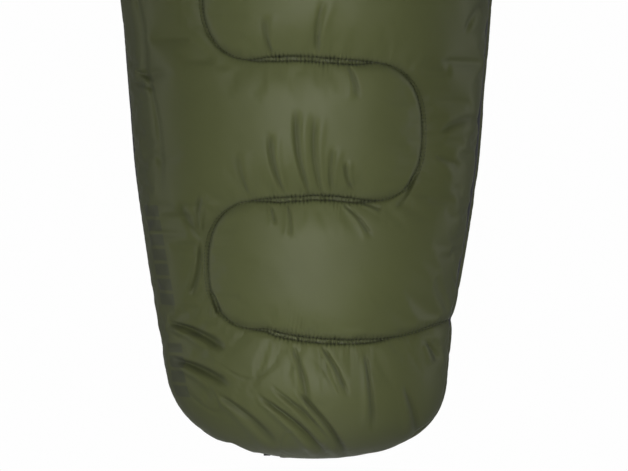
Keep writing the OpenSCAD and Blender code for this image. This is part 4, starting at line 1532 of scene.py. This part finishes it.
def build_eyelet():
    """Rolled steel ring that the cord comes out of."""
    profile = [(2.7, 0.0), (3.4, -0.7), (4.6, -0.7), (5.5, -0.1)]
    profile += [(5.5, 0.5), (4.4, 1.2), (3.2, 1.2), (2.7, 0.6)]
    eyelet = in_place(lathe(profile, 32), EXIT_X, EXIT_S, EXIT_Z, TO_LEFT)
    piece("cord_eyelet", "steel", ["cord_exit_eyelet"], [eyelet], body="bag")


def build_cord():
    """The cord's tail and the bead on its end."""
    start = (EXIT_X - 0.0016, TOE_Y + EXIT_S, EXIT_Z)
    bend = (TAIL_X, TOE_Y + TAIL_S, TAIL_Z)
    inside = np.linspace((EXIT_X + 0.006, TOE_Y + EXIT_S, EXIT_Z + 0.001), start, 5)[:-1]
    out = (EXIT_X - 0.010, start[1] - 0.002, EXIT_Z - 0.012)
    down = (bend[0], bend[1] + 0.034, TAIL_Z)
    straight = np.linspace(bend, (TAIL_X, bend[1] - TAIL_LEN - 0.002, TAIL_Z), 60)[1:]
    path = np.concatenate([inside, curve([start, out, down, bend], 40), straight])
    piece("drawcord_tail", "cord", ["cord_tail"], [tube(path, CORD_R, 14, up=(1, 0, 0.2))], body="bag")
    profile = [(1.8, 0), (3.4, 0.2), (4.0, 1.2), (4.3, 4), (4.0, 4.6), (4.1, 5.2)]
    profile += [(4.9, 9.5), (5.2, 11), (4.6, 11.9), (2.0, 12)]
    bead = in_place(lathe(profile, 32), TAIL_X, TAIL_S - TAIL_LEN - 0.0002, TAIL_Z, turned("X", 90))
    piece("end_bead", "plastic", ["cord_end_bead"], [bead], body="bag")


def build_cord_lock():
    """Barrel with a sprung button. Its Z faces out of the bag's left side, and the cord runs along Y."""
    def lock(part):
        return in_place(part, TAIL_X, LOCK_S, TAIL_Z, TO_LEFT)

    barrel = [(2.0, -14), (5.8, -13.9), (6.7, -13.2), (7.0, -12.0)]
    for z in (-9.5, 4.0):
        barrel += [(7.0, z), (6.5, z + 0.4), (6.5, z + 1.2), (7.0, z + 1.6)]
    barrel += [(7.0, 7.2), (6.6, 8.0), (5.3, 8.0), (5.2, 7.4), (5.2, -11), (0.5, -11)]
    parts = [lathe(barrel, 40)]
    for side in (-1, 1):
        parts.append(moved(torus(2.5, 0.55), shifted(0, side * 6.75, 0) @ turned("X", 90)))
    piece("lock_barrel", "plastic", ["cord_lock_barrel"], [lock(part) for part in parts], body="cord_lock")
    button = [(0.5, -2.8), (4.7, -2.8), (5.1, -2.4), (5.1, 11.6)]
    button += [(4.6, 12.5), (3.6, 13.0), (2.6, 12.6), (0.4, 12.5)]
    parts = [lock(lathe(button, 36))]
    for r in (1.2, 3.3):
        parts.append(lock(moved(torus(r, 0.22), shifted(0, 0, 12.75))))
    piece("lock_button_cap", "plastic", ["cord_lock_button"], parts, body="lock_button")
    a = np.linspace(0, 2 * math.pi * SPRING_TURNS, 24 * SPRING_TURNS)
    wire = np.stack([3.2 * np.cos(a), 3.2 * np.sin(a), np.linspace(-10.5, -3.3, len(a))], 1)
    spring = piece("lock_spring", "steel", ["cord_lock_spring"], [lock(tube(wire, 0.4, 8))], body="cord_lock")
    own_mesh(spring)


build_shells()
build_inside()
build_neck_binding()
build_pocket()
build_label()
build_piping()
build_hood()
build_hood_inside()
build_rim()
build_draft_tube()
build_zip()
build_slider()
build_tab()
build_loops()
build_eyelet()
build_cord()
build_cord_lock()


# ---------- camera, light and floor ----------

FRAME_W = 1.130              # width of the view at the seam's height
VIEW_X, VIEW_S = 0.015, 0.400           # the middle of the view
LENS, SENSOR = 120, 36
WORLD_LIGHT = 0.155
NEAR_WHITE = (0.99, 0.99, 0.99, 1)


def build_camera():
    """A long lens that looks straight down at the foot end."""
    data = bpy.data.cameras.new("camera")
    data.lens = LENS
    data.sensor_width = SENSOR
    camera = bpy.data.objects.new("camera", data)
    bpy.context.scene.collection.objects.link(camera)
    camera.location = (VIEW_X, TOE_Y + VIEW_S, SEAM_Z + FRAME_W * LENS / SENSOR)
    bpy.context.scene.camera = camera


def area_light(name, place, size, power, target, spread=180):
    """A soft rectangular light that the camera doesn't see. A small spread narrows its beam, like a grid."""
    data = bpy.data.lights.new(name, "AREA")
    data.shape = "RECTANGLE"
    data.size, data.size_y = size
    data.energy = power
    data.spread = math.radians(spread)
    light = bpy.data.objects.new(name, data)
    bpy.context.scene.collection.objects.link(light)
    light.location = place
    light.rotation_euler = (Vector(target) - Vector(place)).to_track_quat("-Z", "Y").to_euler()
    light.visible_camera = False


def choose_by_camera(tree, seen, lit, output):
    """Joins output to seen for rays from the camera and to lit for every other ray."""
    path = tree.nodes.new("ShaderNodeLightPath")
    choose = tree.nodes.new("ShaderNodeMixShader")
    tree.links.new(path.outputs["Is Camera Ray"], choose.inputs[0])
    tree.links.new(lit.outputs[0], choose.inputs[1])
    tree.links.new(seen.outputs[0], choose.inputs[2])
    tree.links.new(choose.outputs[0], output.inputs[0])


def build_world():
    """Even soft light, with a white backdrop."""
    world = bpy.data.worlds.new("studio")
    bpy.context.scene.world = world
    world.use_nodes = True
    tree = world.node_tree
    lit = tree.nodes["Background"]
    lit.inputs[1].default_value = WORLD_LIGHT
    lit.inputs[0].default_value = (1, 1, 1, 1)
    seen = tree.nodes.new("ShaderNodeBackground")
    seen.inputs[0].default_value = NEAR_WHITE
    choose_by_camera(tree, seen, lit, tree.nodes["World Output"])


def build_floor():
    """A floor that looks white to the camera, but throws back no more light than a pale grey one."""
    half = 60.0
    corners = [(-half, -half, 0), (half, -half, 0), (half, half, 0), (-half, half, 0)]
    floor = new_object("floor", corners, [(0, 1, 2, 3)])
    floor.location.z = -0.0005
    material = bpy.data.materials.new("floor")
    material.use_nodes = True
    tree = material.node_tree
    lit = tree.nodes.new("ShaderNodeBsdfDiffuse")
    lit.inputs[0].default_value = (0.60, 0.60, 0.60, 1)
    seen = tree.nodes.new("ShaderNodeEmission")
    seen.inputs[0].default_value = NEAR_WHITE
    choose_by_camera(tree, seen, lit, tree.nodes["Material Output"])
    floor.data.materials.append(material)


build_camera()
area_light("key", (0.0, -0.35, 2.0), (0.16, 3.9), 2.6, (0.0, -0.35, 0), spread=24)
area_light("left_fill", (-3.0, -0.6, 1.1), (3.0, 0.6), 22, (0, -0.2, 0.1))
area_light("right_fill", (3.0, 0.0, 0.7), (3.0, 0.5), 24, (0, 0, 0.1))
area_light("toe_fill", (0.05, -3.2, 1.9), (0.8, 0.8), 9, (0, -1.1, 0.1))
build_world()
build_floor()
bpy.context.scene.view_settings.view_transform = "Standard"
